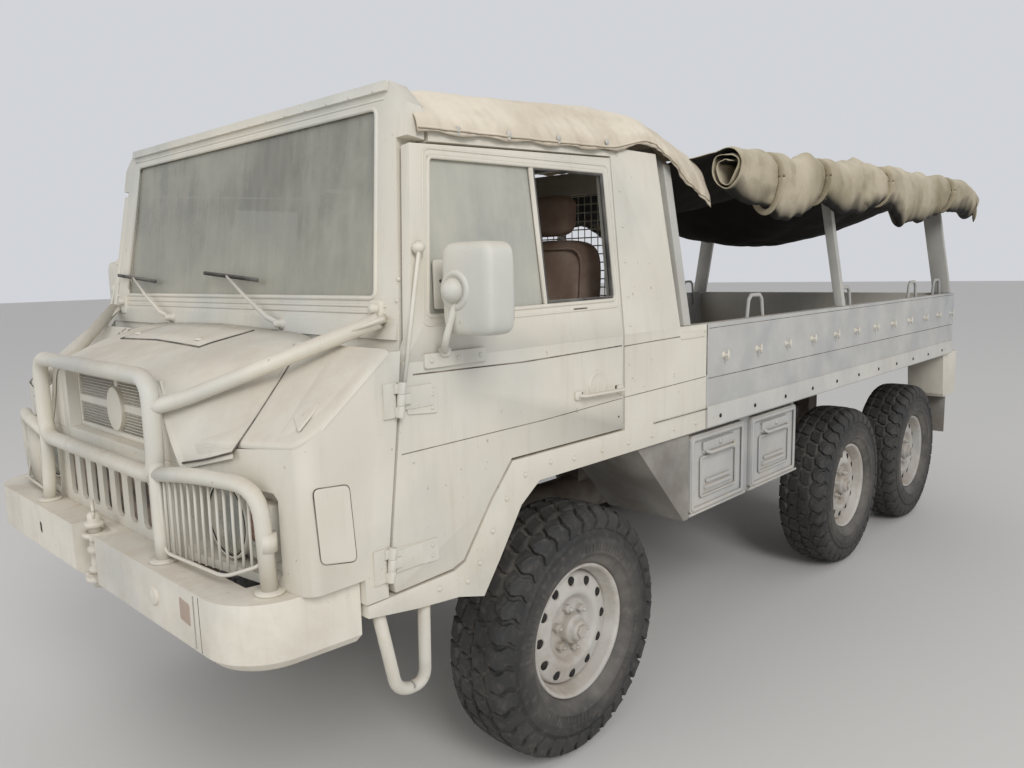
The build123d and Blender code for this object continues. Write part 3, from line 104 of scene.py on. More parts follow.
def made(name, *forms):
    """The object of those forms, with touching points merged and the faces turned outwards."""
    points, quads, smooth = joined(*forms)
    mesh = bpy.data.meshes.new(name)
    mesh.from_pydata(points.tolist(), [], quads.tolist())
    mesh.polygons.foreach_set("use_smooth", smooth)
    work = bmesh.new()
    work.from_mesh(mesh)
    bmesh.ops.remove_doubles(work, verts=work.verts, dist=TOUCHING)
    bmesh.ops.recalc_face_normals(work, faces=work.faces)
    work.to_mesh(mesh)
    work.free()
    piece = bpy.data.objects.new(name, mesh)
    bpy.context.scene.collection.objects.link(piece)
    return piece


def shader(name):
    """A new material with its shader node, as (material, tree, shader)."""
    material = bpy.data.materials.new(name)
    material.use_nodes = True
    tree = material.node_tree
    return material, tree, tree.nodes["Principled BSDF"]


studio_edge = np.linspace(-STUDIO_HALF, STUDIO_HALF, 3)
floor_x, floor_y = np.meshgrid(studio_edge, studio_edge, indexing="ij")
studio_floor = made("studio_floor", grid(np.stack([floor_x, floor_y, np.zeros_like(floor_x)], -1)))
floor_finish, _, floor_shader = shader("studio floor")
floor_shader.inputs["Base Color"].default_value = FLOOR_COLOUR
floor_shader.inputs["Roughness"].default_value = FLOOR_ROUGHNESS
studio_floor.data.materials.append(floor_finish)

world = bpy.data.worlds.new("studio")
bpy.context.scene.world = world
world.use_nodes = True
sky = world.node_tree.nodes["Background"]
sky.inputs["Color"].default_value = SKY_COLOUR
sky.inputs["Strength"].default_value = SKY_STRENGTH


def soft_lamp(name, place, target, size, watts):
    """A square area lamp at place, facing target."""
    lamp = bpy.data.lights.new(name, "AREA")
    lamp.size = size
    lamp.energy = watts
    holder = bpy.data.objects.new(name, lamp)
    holder.location = place
    holder.rotation_euler = (Vector(target) - Vector(place)).to_track_quat("-Z", "Y").to_euler()
    bpy.context.scene.collection.objects.link(holder)


soft_lamp("key lamp", place=(6.0, 10.0, 8.5), target=(0, 0, 1), size=5.0, watts=760)
soft_lamp("front lamp", place=(11.0, -2.0, 6.0), target=(1.5, 0, 1), size=5.0, watts=160)


# Cream body paint
# One coat of sand cream sprayed over an older greyish one that still shows in soft patches, with
# fine chips, faint runs down the sides and brown dust lying on whatever faces up.
CREAM = (0.66, 0.62, 0.525, 1)
GREY_COAT = (0.44, 0.465, 0.455, 1)
DUST = (0.48, 0.415, 0.335, 1)
CHIP = (0.27, 0.22, 0.16, 1)
OVERSPRAY = (0.80, 0.77, 0.69, 1)
DOWN_THE_SIDES = (9.0, 9.0, 0.9)
CLEAN_ABOVE, DIRTY_BELOW = 1.15, 0.55


def value_noise(tree, place, scale, detail=4.0, rough=0.6):
    """Noise between 0 and 1 at that scale, read at place."""
    made_node = tree.nodes.new("ShaderNodeTexNoise")
    made_node.inputs["Scale"].default_value = scale
    made_node.inputs["Detail"].default_value = detail
    made_node.inputs["Roughness"].default_value = rough
    tree.links.new(place, made_node.inputs["Vector"])
    return made_node.outputs["Fac"]


def stretched(tree, place, scale):
    """place scaled by a factor along each axis, which draws a pattern out into streaks."""
    mapping = tree.nodes.new("ShaderNodeMapping")
    mapping.inputs["Scale"].default_value = scale
    tree.links.new(place, mapping.inputs["Vector"])
    return mapping.outputs["Vector"]


def between(tree, value, low, high, to_low=0.0, to_high=1.0):
    """value mapped from low..high to to_low..to_high and held there."""
    ranged = tree.nodes.new("ShaderNodeMapRange")
    for socket, number in (("From Min", low), ("From Max", high), ("To Min", to_low), ("To Max", to_high)):
        ranged.inputs[socket].default_value = number
    tree.links.new(value, ranged.inputs["Value"])
    return ranged.outputs["Result"]


def mixed(tree, share, first, second):
    """first and second colour mixed by share. Each is a colour or a socket."""
    mix = tree.nodes.new("ShaderNodeMix")
    mix.data_type = "RGBA"
    for socket, colour in ((6, first), (7, second)):
        if isinstance(colour, tuple):
            mix.inputs[socket].default_value = colour
        else:
            tree.links.new(colour, mix.inputs[socket])
    tree.links.new(share, mix.inputs[0])
    return mix.outputs[2]


def arithmetic(tree, operation, first, second):
    """first and second, sockets or numbers, put together by that operation."""
    node = tree.nodes.new("ShaderNodeMath")
    node.operation = operation
    for socket, value in ((0, first), (1, second)):
        if isinstance(value, float):
            node.inputs[socket].default_value = value
        else:
            tree.links.new(value, node.inputs[socket])
    return node.outputs[0]


def parted(tree, vector):
    """The x, y and z sockets of a vector."""
    parts = tree.nodes.new("ShaderNodeSeparateXYZ")
    tree.links.new(vector, parts.inputs[0])
    return parts.outputs["X"], parts.outputs["Y"], parts.outputs["Z"]


def object_place(tree):
    """The point's place on its piece, in metres."""
    return tree.nodes.new("ShaderNodeTexCoord").outputs["Object"]


def facing_up(tree, low=0.25, high=0.85):
    """How far the surface faces up, from 0 at low to 1 at high."""
    normal = tree.nodes.new("ShaderNodeNewGeometry").outputs["Normal"]
    return between(tree, parted(tree, normal)[2], low, high)


def relief(tree, height, strength, distance, shader_node):
    """A bump of that height on the shader's normal."""
    bump = tree.nodes.new("ShaderNodeBump")
    bump.inputs["Strength"].default_value = strength
    bump.inputs["Distance"].default_value = distance
    tree.links.new(height, bump.inputs["Height"])
    tree.links.new(bump.outputs["Normal"], shader_node.inputs["Normal"])


def old_paint(name, coat, under, dust=DUST, dust_share=0.75, grime=0.35, chips=0.5, rough=0.68):
    """coat over under in soft patches, with runs, chips, grime low down and dust where it faces up."""
    material, tree, paint = shader(name)
    place = object_place(tree)
    patchy = value_noise(tree, place, scale=1.7, detail=3.0, rough=0.5)
    colour = mixed(tree, between(tree, patchy, 0.46, 0.66, to_high=0.62), coat, under)
    cloudy = between(tree, value_noise(tree, place, scale=5.5, rough=0.55), 0.40, 0.70, to_high=0.22)
    colour = mixed(tree, cloudy, colour, OVERSPRAY)
    streaks = value_noise(tree, stretched(tree, place, DOWN_THE_SIDES), scale=3.0, detail=3.0)
    colour = mixed(tree, between(tree, streaks, 0.55, 0.75, to_high=0.22), colour, dust)
    low_down = between(tree, parted(tree, place)[2], CLEAN_ABOVE, DIRTY_BELOW)
    dirt = between(tree, value_noise(tree, place, scale=7.0, detail=8.0, rough=0.68), 0.42, 0.62)
    splashed = arithmetic(tree, "MULTIPLY", arithmetic(tree, "MULTIPLY", dirt, low_down), grime)
    colour = mixed(tree, splashed, colour, dust)
    lying = arithmetic(tree, "MULTIPLY", facing_up(tree), between(tree, dirt, 0.0, 1.0, to_low=0.55))
    colour = mixed(tree, arithmetic(tree, "MULTIPLY", lying, dust_share), colour, dust)
    specks = between(tree, value_noise(tree, place, scale=46.0, detail=3.0), 0.705, 0.74, to_high=chips)
    colour = mixed(tree, specks, colour, CHIP)
    tree.links.new(colour, paint.inputs["Base Color"])
    uneven = between(tree, dirt, 0.0, 1.0, to_low=rough - 0.1, to_high=rough + 0.14)
    tree.links.new(uneven, paint.inputs["Roughness"])
    relief(tree, value_noise(tree, place, scale=190.0, detail=3.0), 0.16, 0.0008, paint)
    return material


PAINTS = (
    # finish, name, top coat, coat below it, and what differs from the cab's paint
    ("cream_paint", "cream paint", CREAM, GREY_COAT, {}),
    ("bumper_paint", "bumper paint", (0.70, 0.655, 0.56, 1), GREY_COAT, {"grime": 0.5}),
    # Grey bed paint, darker than its own grey: part of that darkness is painted shade on the bed's sides and
    # lockers.
    ("bed_paint", "bed paint with painted shade", (0.43, 0.425, 0.405, 1), (0.31, 0.33, 0.345, 1), {"grime": 0.45}),
    ("rail_paint", "rail paint", (0.56, 0.545, 0.50, 1), (0.40, 0.415, 0.42, 1), {"grime": 0.5, "chips": 0.8}),
    # Most of the mudguards' darkness is painted shade from their shaded front slopes, with dust on it.
    ("guard_paint", "mudguard paint and painted shade", (0.20, 0.185, 0.165, 1), (0.10, 0.088, 0.072, 1),
     {"dust": (0.24, 0.20, 0.16, 1)}),
    ("galvanised", "galvanised steel", (0.46, 0.45, 0.41, 1), (0.36, 0.35, 0.32, 1),
     {"dust_share": 0.4, "rough": 0.55}),
    ("dark_metal", "dark dusty metal", (0.075, 0.062, 0.05, 1), (0.13, 0.10, 0.075, 1),
     {"dust": (0.20, 0.155, 0.115, 1), "rough": 0.85, "chips": 0.2}),
    ("cast_iron", "cast iron", (0.06, 0.054, 0.05, 1), (0.10, 0.08, 0.065, 1),
     {"dust": (0.19, 0.15, 0.11, 1), "rough": 0.8, "chips": 0.2}),
    ("brown_bed", "brown bed metal", (0.085, 0.048, 0.034, 1), (0.13, 0.09, 0.065, 1),
     {"dust": (0.22, 0.16, 0.12, 1), "rough": 0.78, "chips": 0.3}),
    ("cab_black", "black cab plastic", (0.018, 0.018, 0.018, 1), (0.035, 0.032, 0.03, 1),
     {"dust": (0.16, 0.13, 0.10, 1), "dust_share": 0.4, "rough": 0.6, "chips": 0.1}),
)
finishes = {finish: old_paint(name, coat, under, **rest) for finish, name, coat, under, rest in PAINTS}


# Tyres
# Mud-terrain tyres: a rubber carcass with ribs round its sidewalls, and hand-sized blocks that lock
# into one another across the tread and wrap over the shoulders. Dust has dried in the grooves.
WHEELS = (("front", 0.0), ("mid", -2.20), ("rear", -3.18))
SIDES = (("left", 1), ("right", -1))
TRACK_HALF = 0.740
WHEEL_Z = 0.400
PITCHES = 34
TREAD_BASE_Y = (0, 0.050, 0.080, 0.094, 0.102, 0.107, 0.111, 0.1155)
TREAD_BASE_R = (0.3865, 0.3855, 0.3815, 0.374, 0.360, 0.343, 0.322, 0.296)
SIDEWALL = (
    # half width, radius, from the foot of the shoulder blocks to the bead
    (0.1130, 0.3180), (0.1150, 0.3165), (0.1150, 0.3120), (0.1140, 0.3105), (0.1160, 0.2960), (0.1175, 0.2930),
    (0.1175, 0.2890), (0.1163, 0.2860), (0.1165, 0.2700), (0.1150, 0.2580), (0.1165, 0.2565), (0.1160, 0.2520),
    (0.1130, 0.2505), (0.1060, 0.2390), (0.0980, 0.2300), (0.0960, 0.2235), (0.0880, 0.2180), (0.0800, 0.2146),
)
BLOCK_ROWS = (
    # across the tread from, to, shift round the tread in pitches, steps across
    (-0.047, -0.004, 0.0, 6), (0.004, 0.047, 0.5, 6), (-0.148, -0.055, 0.27, 10), (0.055, 0.148, 0.77, 10),
)
BLOCK_HEIGHT = ((0, 0.088, 0.112, 0.150), (0.0135, 0.0135, 0.0095, 0.0040))
BLOCK_SHARE = 0.86
BLOCK_ROLL = 0.07
BLOCK_FOOT = -0.002
SHOULDER_FROM, SHOULDER_WIDTH = 0.085, 0.04


def dress(piece, finish, body, *stands_for):
    """Gives a piece its finish, its body, and the CAD nodes that it stands for."""
    piece.data.materials.append(finishes[finish])
    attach(piece, body)
    if stands_for:
        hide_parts(*stands_for)
    return piece


def zigzag(value):
    """A wave of straight runs between -1 and 1, with a period of 1."""
    return 4 * np.abs(value - np.floor(value + 0.5)) - 1


def on_tread(around, across, height):
    """The place of a tread point: across is run along the base profile from the crown, and height is
    added along the profile's normal; around is the angle about the wheel's axis."""
    base_y, base_r = np.array(TREAD_BASE_Y), np.array(TREAD_BASE_R)
    run = np.concatenate([[0], np.cumsum(np.hypot(np.diff(base_y), np.diff(base_r)))])
    slope_y, slope_r = np.gradient(base_y, run), np.gradient(base_r, run)
    far = np.abs(across)
    out_y, out_r = -np.interp(far, run, slope_r), np.interp(far, run, slope_y)
    y = np.sign(across) * (np.interp(far, run, base_y) + height * out_y)
    r = np.interp(far, run, base_r) + height * out_r
    return np.stack([r * np.cos(around), y, r * np.sin(around)], -1)


def tread_blocks(low, high, shift, steps):
    """A ring of blocks: each is a grid whose outer ring of points is sunk in the carcass, and one
    zigzag warp of the whole tread gives the blocks their corners and keeps the grooves even."""
    pitch = 1 / PITCHES
    turn = (np.arange(PITCHES) + shift)[:, None, None] * pitch
    share_a = np.array([0, BLOCK_ROLL, 0.5, 1 - BLOCK_ROLL, 1])[None, :, None]
    flat_top = np.linspace(BLOCK_ROLL, 1 - BLOCK_ROLL, steps - 2)[1:-1]
    share_b = np.concatenate([[0, BLOCK_ROLL], flat_top, [1 - BLOCK_ROLL, 1]])[None, None, :]
    around = turn + (share_a - 0.5) * pitch * BLOCK_SHARE + 0 * share_b
    across = low + (high - low) * share_b + 0 * around
    sunk = (share_a % 1 == 0) | (share_b % 1 == 0)
    height = np.where(sunk, BLOCK_FOOT, np.interp(np.abs(across), *BLOCK_HEIGHT))
    edge = 1 - np.clip((np.abs(across) - SHOULDER_FROM) / SHOULDER_WIDTH, 0, 1)
    around_warped = around + 0.13 * pitch * zigzag(across / 0.051 + 0.27)
    across_warped = across + 0.006 * edge * zigzag(around * PITCHES + 0.25)
    points = on_tread(2 * np.pi * around_warped, across_warped, height)
    return joined(*[grid(block, smooth=False) for block in points])


def spun(out, radius, turn):
    """Places at that radius and that far out along Y, turned about the wheel's axis."""
    return np.stack([radius * np.cos(turn), out + 0 * turn, radius * np.sin(turn)], -1)


def point_places(mesh):
    """The places of a mesh's points, as rows."""
    places = np.empty(len(mesh.vertices) * 3)
    mesh.vertices.foreach_get("co", places)
    return places.reshape(-1, 3)


tread_run, row_share = np.linspace(0, 1, 9), np.linspace(0, 1, len(TREAD_BASE_Y))
crown_y, crown_r = np.interp(tread_run, row_share, TREAD_BASE_Y), np.interp(tread_run, row_share, TREAD_BASE_R)
half_profile = np.concatenate([np.stack([crown_y, crown_r], -1)[:-1], np.array(SIDEWALL)])
tyre_profile = np.concatenate([half_profile[:0:-1] * (-1, 1), half_profile])
tyre_turn = np.linspace(0, 2 * np.pi, 120, endpoint=False)[:, None]
carcass = grid(spun(tyre_profile[:, 0], tyre_profile[:, 1], tyre_turn), wrap_u=True, wrap_v=True)

# Raised ticks stand in four short rows round the outer sidewall, as moulded marks do
TICKS = 96
TICK_GROUP, TICKS_SHOWN = 24, 13
TICK_TURN = np.array([-0.004, -0.003, 0.003, 0.004])
TICK_R = np.array([0.2600, 0.2610, 0.2840, 0.2850])
tick_turn = (np.arange(TICKS) / TICKS * 2 * np.pi)[:, None, None] + TICK_TURN[None, :, None]
tick_r = TICK_R[None, None, :] + 0 * tick_turn
tick_rim = np.arange(4) % 3 == 0
tick_out = np.where(tick_rim[None, :, None] | tick_rim[None, None, :], 0.1145, 0.1176) + 0 * tick_turn
shown = (np.arange(TICKS) % TICK_GROUP) < TICKS_SHOWN
ticks = [grid(tick, smooth=False) for tick in spun(tick_out, tick_r, tick_turn)[shown]]
tyre_form = joined(carcass, *[tread_blocks(*row) for row in BLOCK_ROWS], *ticks)

rubber, rubber_tree, rubber_shader = shader("tyre rubber")
rubber_place = object_place(rubber_tree)
rubber_noise = value_noise(rubber_tree, rubber_place, scale=5.0, detail=5.0)
rubber_dust = between(rubber_tree, rubber_noise, 0.40, 0.68, to_low=0.10, to_high=0.62)
rubber_colour = mixed(rubber_tree, rubber_dust, (0.021, 0.021, 0.021, 1), (0.075, 0.068, 0.060, 1))
rubber_grain = between(rubber_tree, value_noise(rubber_tree, rubber_place, scale=40.0), 0.52, 0.75, to_high=0.5)
rubber_colour = mixed(rubber_tree, rubber_grain, rubber_colour, (0.115, 0.100, 0.085, 1))
wear = rubber_tree.nodes.new("ShaderNodeAttribute")
wear.attribute_name = "wear"
dust_in_wear = between(rubber_tree, rubber_dust, 0.1, 0.62, to_low=0.35)
worn = arithmetic(rubber_tree, "MULTIPLY", wear.outputs["Fac"], dust_in_wear)
rubber_colour = mixed(rubber_tree, worn, rubber_colour, (0.19, 0.172, 0.150, 1))
rubber_tree.links.new(rubber_colour, rubber_shader.inputs["Base Color"])
rubber_rough = between(rubber_tree, rubber_dust, 0.0, 1.0, to_low=0.62, to_high=0.92)
rubber_tree.links.new(rubber_rough, rubber_shader.inputs["Roughness"])
relief(rubber_tree, value_noise(rubber_tree, rubber_place, scale=150.0), 0.35, 0.0015, rubber_shader)
finishes["tyre_rubber"] = rubber


def at_wheel(form, x, hand):
    """The form moved from the origin to that wheel's centre, mirrored on the right-hand side."""
    points, quads, smooth = form
    return points * (1, hand, 1) + (FRONT_AXLE_X + x, hand * TRACK_HALF, WHEEL_Z), quads, smooth


for station, x in WHEELS:
    for side, hand in SIDES:
        tyre = made(f"tyre_tread_{station}_{side}", at_wheel(tyre_form, x, hand))
        away = point_places(tyre.data) - (FRONT_AXLE_X + x, hand * TRACK_HALF, WHEEL_Z)
        radius = np.hypot(away[:, 0], away[:, 2])
        groove = np.interp(radius, (0.372, 0.386, 0.392), (0.0, 0.75, 0.0))
        groove *= np.abs(away[:, 1]) < SHOULDER_FROM
        near_rim = np.interp(radius, (0.235, 0.262, 0.300), (0.9, 0.45, 0.10)) * (radius < 0.31)
        worn_points = tyre.data.attributes.new("wear", "FLOAT", "POINT")
        worn_points.data.foreach_set("value", np.maximum(groove, near_rim))
        dress(tyre, "tyre_rubber", f"wheel_{station}_{side}", f"tyre_{station}_{side}")


# Wheels
# Pressed steel discs welded into a rolled rim: round vents near the edge, a hollow round the hub
# with six nuts, and the turned hub nose. Silver-grey under cream overspray and dust.
RIM_PROFILE = (
    # radius, out from the wheel's middle plane: the rim from its back edge round to the disc
    (0.196, -0.084), (0.212, -0.088), (0.215, -0.082), (0.214, -0.070), (0.205, -0.060), (0.192, -0.040),
    (0.192, 0.030), (0.206, 0.062), (0.2125, 0.072), (0.2155, 0.082), (0.2125, 0.0885), (0.205, 0.086),
    (0.1985, 0.076), (0.196, 0.062), (0.1880, 0.050), (0.1845, 0.030), (0.1835, 0.000), (0.1835, -0.040),
    (0.1850, -0.070),
)
DISC_PROFILE = (
    # radius, out: from the rim weld over the vented ring into the hollow and up to the hub nose
    (0.186, 0.024), (0.1815, 0.040), (0.1755, 0.0475), (0.1685, 0.0505), (0.128, 0.0620), (0.119, 0.0630),
    (0.112, 0.0610), (0.104, 0.0540), (0.097, 0.0430), (0.092, 0.0395), (0.052, 0.0390), (0.049, 0.0420),
    (0.0475, 0.0520), (0.0470, 0.0680), (0.0440, 0.0720), (0.0340, 0.0735), (0.0330, 0.0860), (0.0300, 0.0905),
    (0.0180, 0.0920), (0.0, 0.0920),
)
VENTS = 12
VENT_R = 0.0155
VENT_RING = 0.1535
VENT_ZONE = (0.1300, 0.1740)
VENT_ROWS = (
    # share of the way out from the hole, depth below the disc, how much narrower the hole is there
    (1, 0, 0), (0.6, 0, 0), (0.3, 0, 0), (0.12, 0, 0), (0, 0.0008, 0), (0, 0.0035, 0.0012), (0, 0.016, 0.0016),
)
NUTS = 6
NUT_RING = 0.070
FIRST_NUT = 0.3
WHEEL_SIDES = 96
disc_rows = np.array(DISC_PROFILE)


def turned(profile, sides):
    """A ring of the profile's (radius, out) points turned about the wheel's axis, Y."""
    turn = np.linspace(0, 2 * np.pi, sides, endpoint=False)[:, None]
    profile = np.asarray(profile, float)
    return grid(spun(profile[:, 1], profile[:, 0], turn), wrap_u=True)


def disc_out(radius):
    """How far the disc stands out at that radius, read from its profile."""
    return np.interp(radius, disc_rows[::-1, 0], disc_rows[::-1, 1])


def vent_patches():
    """The vented ring of the disc: each twelfth is a net from its hole's circle out to the patch's
    edge, and a short wall goes back from the hole. The disc's profile gives every point its depth."""
    half_turn, middle = np.pi / VENTS, sum(VENT_ZONE) / 2
    edge = np.linspace(-1, 1, 9)[:-1]
    side = np.concatenate([np.stack([edge, -1 + 0 * edge], -1), np.stack([1 + 0 * edge, edge], -1),
                           np.stack([-edge, 1 + 0 * edge], -1), np.stack([-1 + 0 * edge, -edge], -1)])
    outer_angle, outer_r = side[:, 0] * half_turn, middle + side[:, 1] * (VENT_ZONE[1] - VENT_ZONE[0]) / 2
    spin = np.arctan2(outer_r - VENT_RING, outer_angle * VENT_RING)
    inner_angle, inner_r = VENT_R * np.cos(spin) / VENT_RING, VENT_RING + VENT_R * np.sin(spin)
    share, depth, shrink = np.array(VENT_ROWS, float).T[:, :, None]
    angle = inner_angle + share * (outer_angle - inner_angle)
    r = inner_r + share * (outer_r - inner_r)
    r = r - shrink * np.sin(spin)
    angle = angle - shrink * np.cos(spin) / VENT_RING
    turns = (np.arange(VENTS) * 2 * half_turn)[:, None, None]
    points = spun(disc_out(r) - depth, r, angle + turns)
    return joined(*[grid(patch, wrap_v=True) for patch in points])


def flat_faced(form):
    """The form with every face shaded flat."""
    return form[0], form[1], np.full(len(form[1]), False)


def nut(out, size, height):
    """A hexagonal nut on the end of its stud, standing out along Y from the origin."""
    head = turned(((0, out), (size, out), (size, out + height * 0.8), (size * 0.86, out + height),
                   (size * 0.5, out + height)), 6)
    stud = turned(((size * 0.5, out), (size * 0.5, out + height * 1.5), (0, out + height * 1.6)), 6)
    return joined(flat_faced(head), stud)


def repeated(form, places):
    """Copies of a form moved to each of the places, as one form."""
    points, quads, smooth = form
    count = len(points)
    shifted = points[None] + np.asarray(places)[:, None]
    moved = quads[None] + (np.arange(len(places)) * count)[:, None, None]
    return shifted.reshape(-1, 3), moved.reshape(-1, 4), np.tile(smooth, len(places))


inner_end, outer_end = ([[radius, disc_out(radius)]] for radius in VENT_ZONE)
outer_rows = np.concatenate([disc_rows[disc_rows[:, 0] > VENT_ZONE[1]], outer_end])
inner_rows = np.concatenate([inner_end, disc_rows[disc_rows[:, 0] < VENT_ZONE[0]]])
nut_places = spun(0, NUT_RING, np.arange(NUTS) / NUTS * 2 * np.pi + FIRST_NUT)
hub_hexagon = turned(((0, 0.090), (0.022, 0.090), (0.022, 0.098), (0.019, 0.101), (0, 0.101)), 6)
round_forms = [turned(rows, WHEEL_SIDES) for rows in (RIM_PROFILE, outer_rows, inner_rows)]
wheel_form = joined(*round_forms, vent_patches(),
                    repeated(nut(0.0385, 0.0145, 0.020), nut_places), flat_faced(hub_hexagon))
finishes["wheel_paint"] = old_paint("wheel paint", (0.50, 0.48, 0.44, 1), (0.36, 0.36, 0.35, 1),
                                    dust=(0.33, 0.27, 0.21, 1), grime=0.55, chips=0.35, rough=0.62)
for station, x in WHEELS:
    for side, hand in SIDES:
        disc = made(f"wheel_disc_{station}_{side}", at_wheel(wheel_form, x, hand))
        dress(disc, "wheel_paint", f"wheel_{station}_{side}", f"wheel_{station}_{side}")


# Grille guard
# Two sizes of steel tube bent cold and welded: a loop round the grille on two legs, a hoop over each
# lamp with thin upright rods, and a long stay a side bolted to the body beside the windscreen.
LOOP_TUBE, LEG_TUBE, STAY_TUBE, CLAMP, ROD, WIRE = 0.0215, 0.0185, 0.0195, 0.0225, 0.0036, 0.0045
LOOP_X, LOOP_HALF, LOOP_TOP, LOOP_FOOT = 1.098, 0.402, 1.300, 1.056
BUMPER_TOP = 0.850
ROD_COUNT = 13
FRONT = (1, 0, 0)
UP = (0, 0, 1)


def unit(vectors):
    """Each vector divided by its length."""
    return vectors / np.linalg.norm(vectors, axis=-1, keepdims=True)


def rounded(corners, bend, steps=7):
    """The route through corners, each inner one replaced by a quadratic arc between points bend away."""
    corners = np.asarray(corners, float)
    before = corners[1:-1] + bend * unit(corners[:-2] - corners[1:-1])
    after = corners[1:-1] + bend * unit(corners[2:] - corners[1:-1])
    share = np.linspace(0, 1, steps)[None, :, None]
    pull = 2 * share * (1 - share) * corners[1:-1, None]
    arcs = (1 - share) ** 2 * before[:, None] + pull + share ** 2 * after[:, None]
    return np.concatenate([corners[:1], arcs.reshape(-1, 3), corners[-1:]])


def pipe(route, radius, across, sides=14, flat=1.0):
    """A closed tube: rings square to the route, measured from the direction across, with ends drawn
    in to a point at the route's ends. flat squeezes the rings along their second direction."""
    along = unit(np.gradient(route, axis=0))
    side = unit(np.cross(along, np.asarray(across, float)))
    other = np.cross(side, along)
    spin = np.linspace(0, 2 * np.pi, sides, endpoint=False)[None, :, None]
    size = np.broadcast_to(np.asarray(radius, float), len(route))[:, None, None]
    rings = route[:, None] + size * (np.cos(spin) * side[:, None] + flat * np.sin(spin) * other[:, None])
    ends = [np.broadcast_to(route[end], (1, sides, 3)) for end in (0, -1)]
    return grid(np.concatenate([ends[0], rings, ends[1]]), wrap_v=True)


def mirrored(form):
    """The form's mirror image on the truck's other side, with its faces still turned outwards."""
    return form[0] * (1, -1, 1), form[1][:, ::-1], form[2]


def both_sides(form):
    """The form and its mirror image."""
    return joined(form, mirrored(form))


def spot(x, y, z):
    """A place measured from the front axle, put in the row frame."""
    return (FRONT_AXLE_X + x, y, z)


def spots(*places):
    """An array of places, each measured from the front axle."""
    return np.array([spot(*place) for place in places], float)


def fitted(name, finish, *forms, stands_for=None):
    """Makes a piece of those forms, dresses it with a finish and lets the chassis carry it."""
    dress(made(name, *forms), finish, "chassis", *([stands_for] if stands_for else []))


loop_route = rounded(spots((LOOP_X, 0, LOOP_TOP), (LOOP_X, LOOP_HALF, LOOP_TOP), (LOOP_X, LOOP_HALF, LOOP_FOOT),
                           (LOOP_X, 0, LOOP_FOOT)), 0.062)
leg_route = rounded(spots((1.104, 0.416, BUMPER_TOP + 0.002), (1.100, 0.408, 0.96), (LOOP_X, LOOP_HALF, 1.118)),
                    0.05)
hoop_route = rounded(spots((LOOP_X, 0.386, 1.062), (1.092, 0.600, 1.092), (1.046, 0.796, 1.088),
                           (1.036, 0.796, BUMPER_TOP + 0.002)), 0.078)
stay_route = rounded(spots((LOOP_X, 0.404, 1.228), (1.040, 0.448, 1.244), (0.716, 0.806, 1.424)), 0.05)
rod_share = (np.arange(ROD_COUNT) + 1) / (ROD_COUNT + 1)
rod_y = 0.416 + rod_share * 0.370
rod_x = 1.100 - 0.052 * rod_share ** 1.6
rod_top = np.interp(rod_share, (0, 0.8, 1), (1.086, 1.086, 1.050))
rod_low = np.interp(rod_share, (0, 0.75, 1), (0.878, 0.878, 0.905))
rods = [pipe(spots((x, y, low), (x, y, (low + top) / 2), (x - 0.002, y - 0.002, top)), ROD, FRONT, 8)
        for x, y, low, top in zip(rod_x, rod_y, rod_low, rod_top)]
frame_wire = rounded(spots((1.101, 0.422, 1.070), (1.103, 0.424, 0.874), (1.086, 0.690, 0.874),
                           (1.044, 0.792, 0.915), (1.046, 0.790, 1.060)), 0.03)
clamp = pipe(spots((1.035, 0.796, 0.945), (1.036, 0.796, 0.985)), CLAMP, FRONT)
foot_plates = [pipe(spots((x, y, BUMPER_TOP), (x, y, BUMPER_TOP + 0.008)), 0.034, FRONT, 14)
               for x, y in ((1.104, 0.416), (1.036, 0.796))]
flattened_end = pipe(spots((0.760, 0.757, 1.400), (0.730, 0.790, 1.4165), (0.706, 0.815, 1.4290)),
                     (STAY_TUBE, 0.027, 0.030), UP, 14, flat=0.35)
fitted("grille_guard_tubes", "cream_paint", both_sides(joined(
    pipe(loop_route, LOOP_TUBE, FRONT, 18), pipe(leg_route, LEG_TUBE, FRONT),
    pipe(hoop_route, LEG_TUBE, (1, 0.2, 0.1), 16), pipe(stay_route, STAY_TUBE, UP), flattened_end,
    pipe(frame_wire, WIRE, (1, 0.1, 0), 8), clamp, *rods, *foot_plates)), stands_for="grille_guard")


# Nose
# A welded box of fenders and front wall, pressed from sheet with the rest of the panels further
# down. Its sloping tops are taken off its copy, because new ones with rolled edges are laid there.
FENDER_FALL = 0.7963
SLOPE_TOP_X, SLOPE_TOP_Z = 0.772, 1.358
SIDE = (0, 1, 0)
SLOPE = unit(np.array([FENDER_FALL, 0, 1.0]))


def open_slope(work):
    """Takes every face that lies on the fender slope outside the bonnet off the copy."""
    gone = []
    for face in work.faces:
        height = [corner.co.z - (SLOPE_TOP_Z - FENDER_FALL * (corner.co.x - FRONT_AXLE_X - SLOPE_TOP_X))
                  for corner in face.verts]
        inner = min(abs(corner.co.y) for corner in face.verts)
        if min(height) > -0.004 and max(height) < 0.016 and inner > 0.28:
            gone.append(face)
    bmesh.ops.delete(work, geom=gone, context="FACES")


# Windscreen frame
# The welded frame of the folding windscreen, leaning back 7.8 degrees from its foot on the cowl.
# The wipers, steps and handles that the CAD panels carry are flat-sided, so they come off the
# copies, and round ones are put on further down.
SCREEN_LEAN = np.radians(7.8)
SCREEN = unit(np.array([np.cos(SCREEN_LEAN), 0, np.sin(SCREEN_LEAN)]))
SCREEN_FOOT = np.array([FRONT_AXLE_X + 0.700, 0, 1.345])


def take_off_wipers(work):
    """Removes whatever stands more than 9.6 mm out of the screen's plane or lies across its opening."""
    gone = []
    for corner in work.verts:
        out = (np.array(corner.co) - SCREEN_FOOT) @ SCREEN
        across = abs(corner.co.y) < 0.70 and 1.49 < corner.co.z < 1.90
        if out > 0.0096 or across:
            gone.append(corner)
    bmesh.ops.delete(work, geom=gone, context="VERTS")


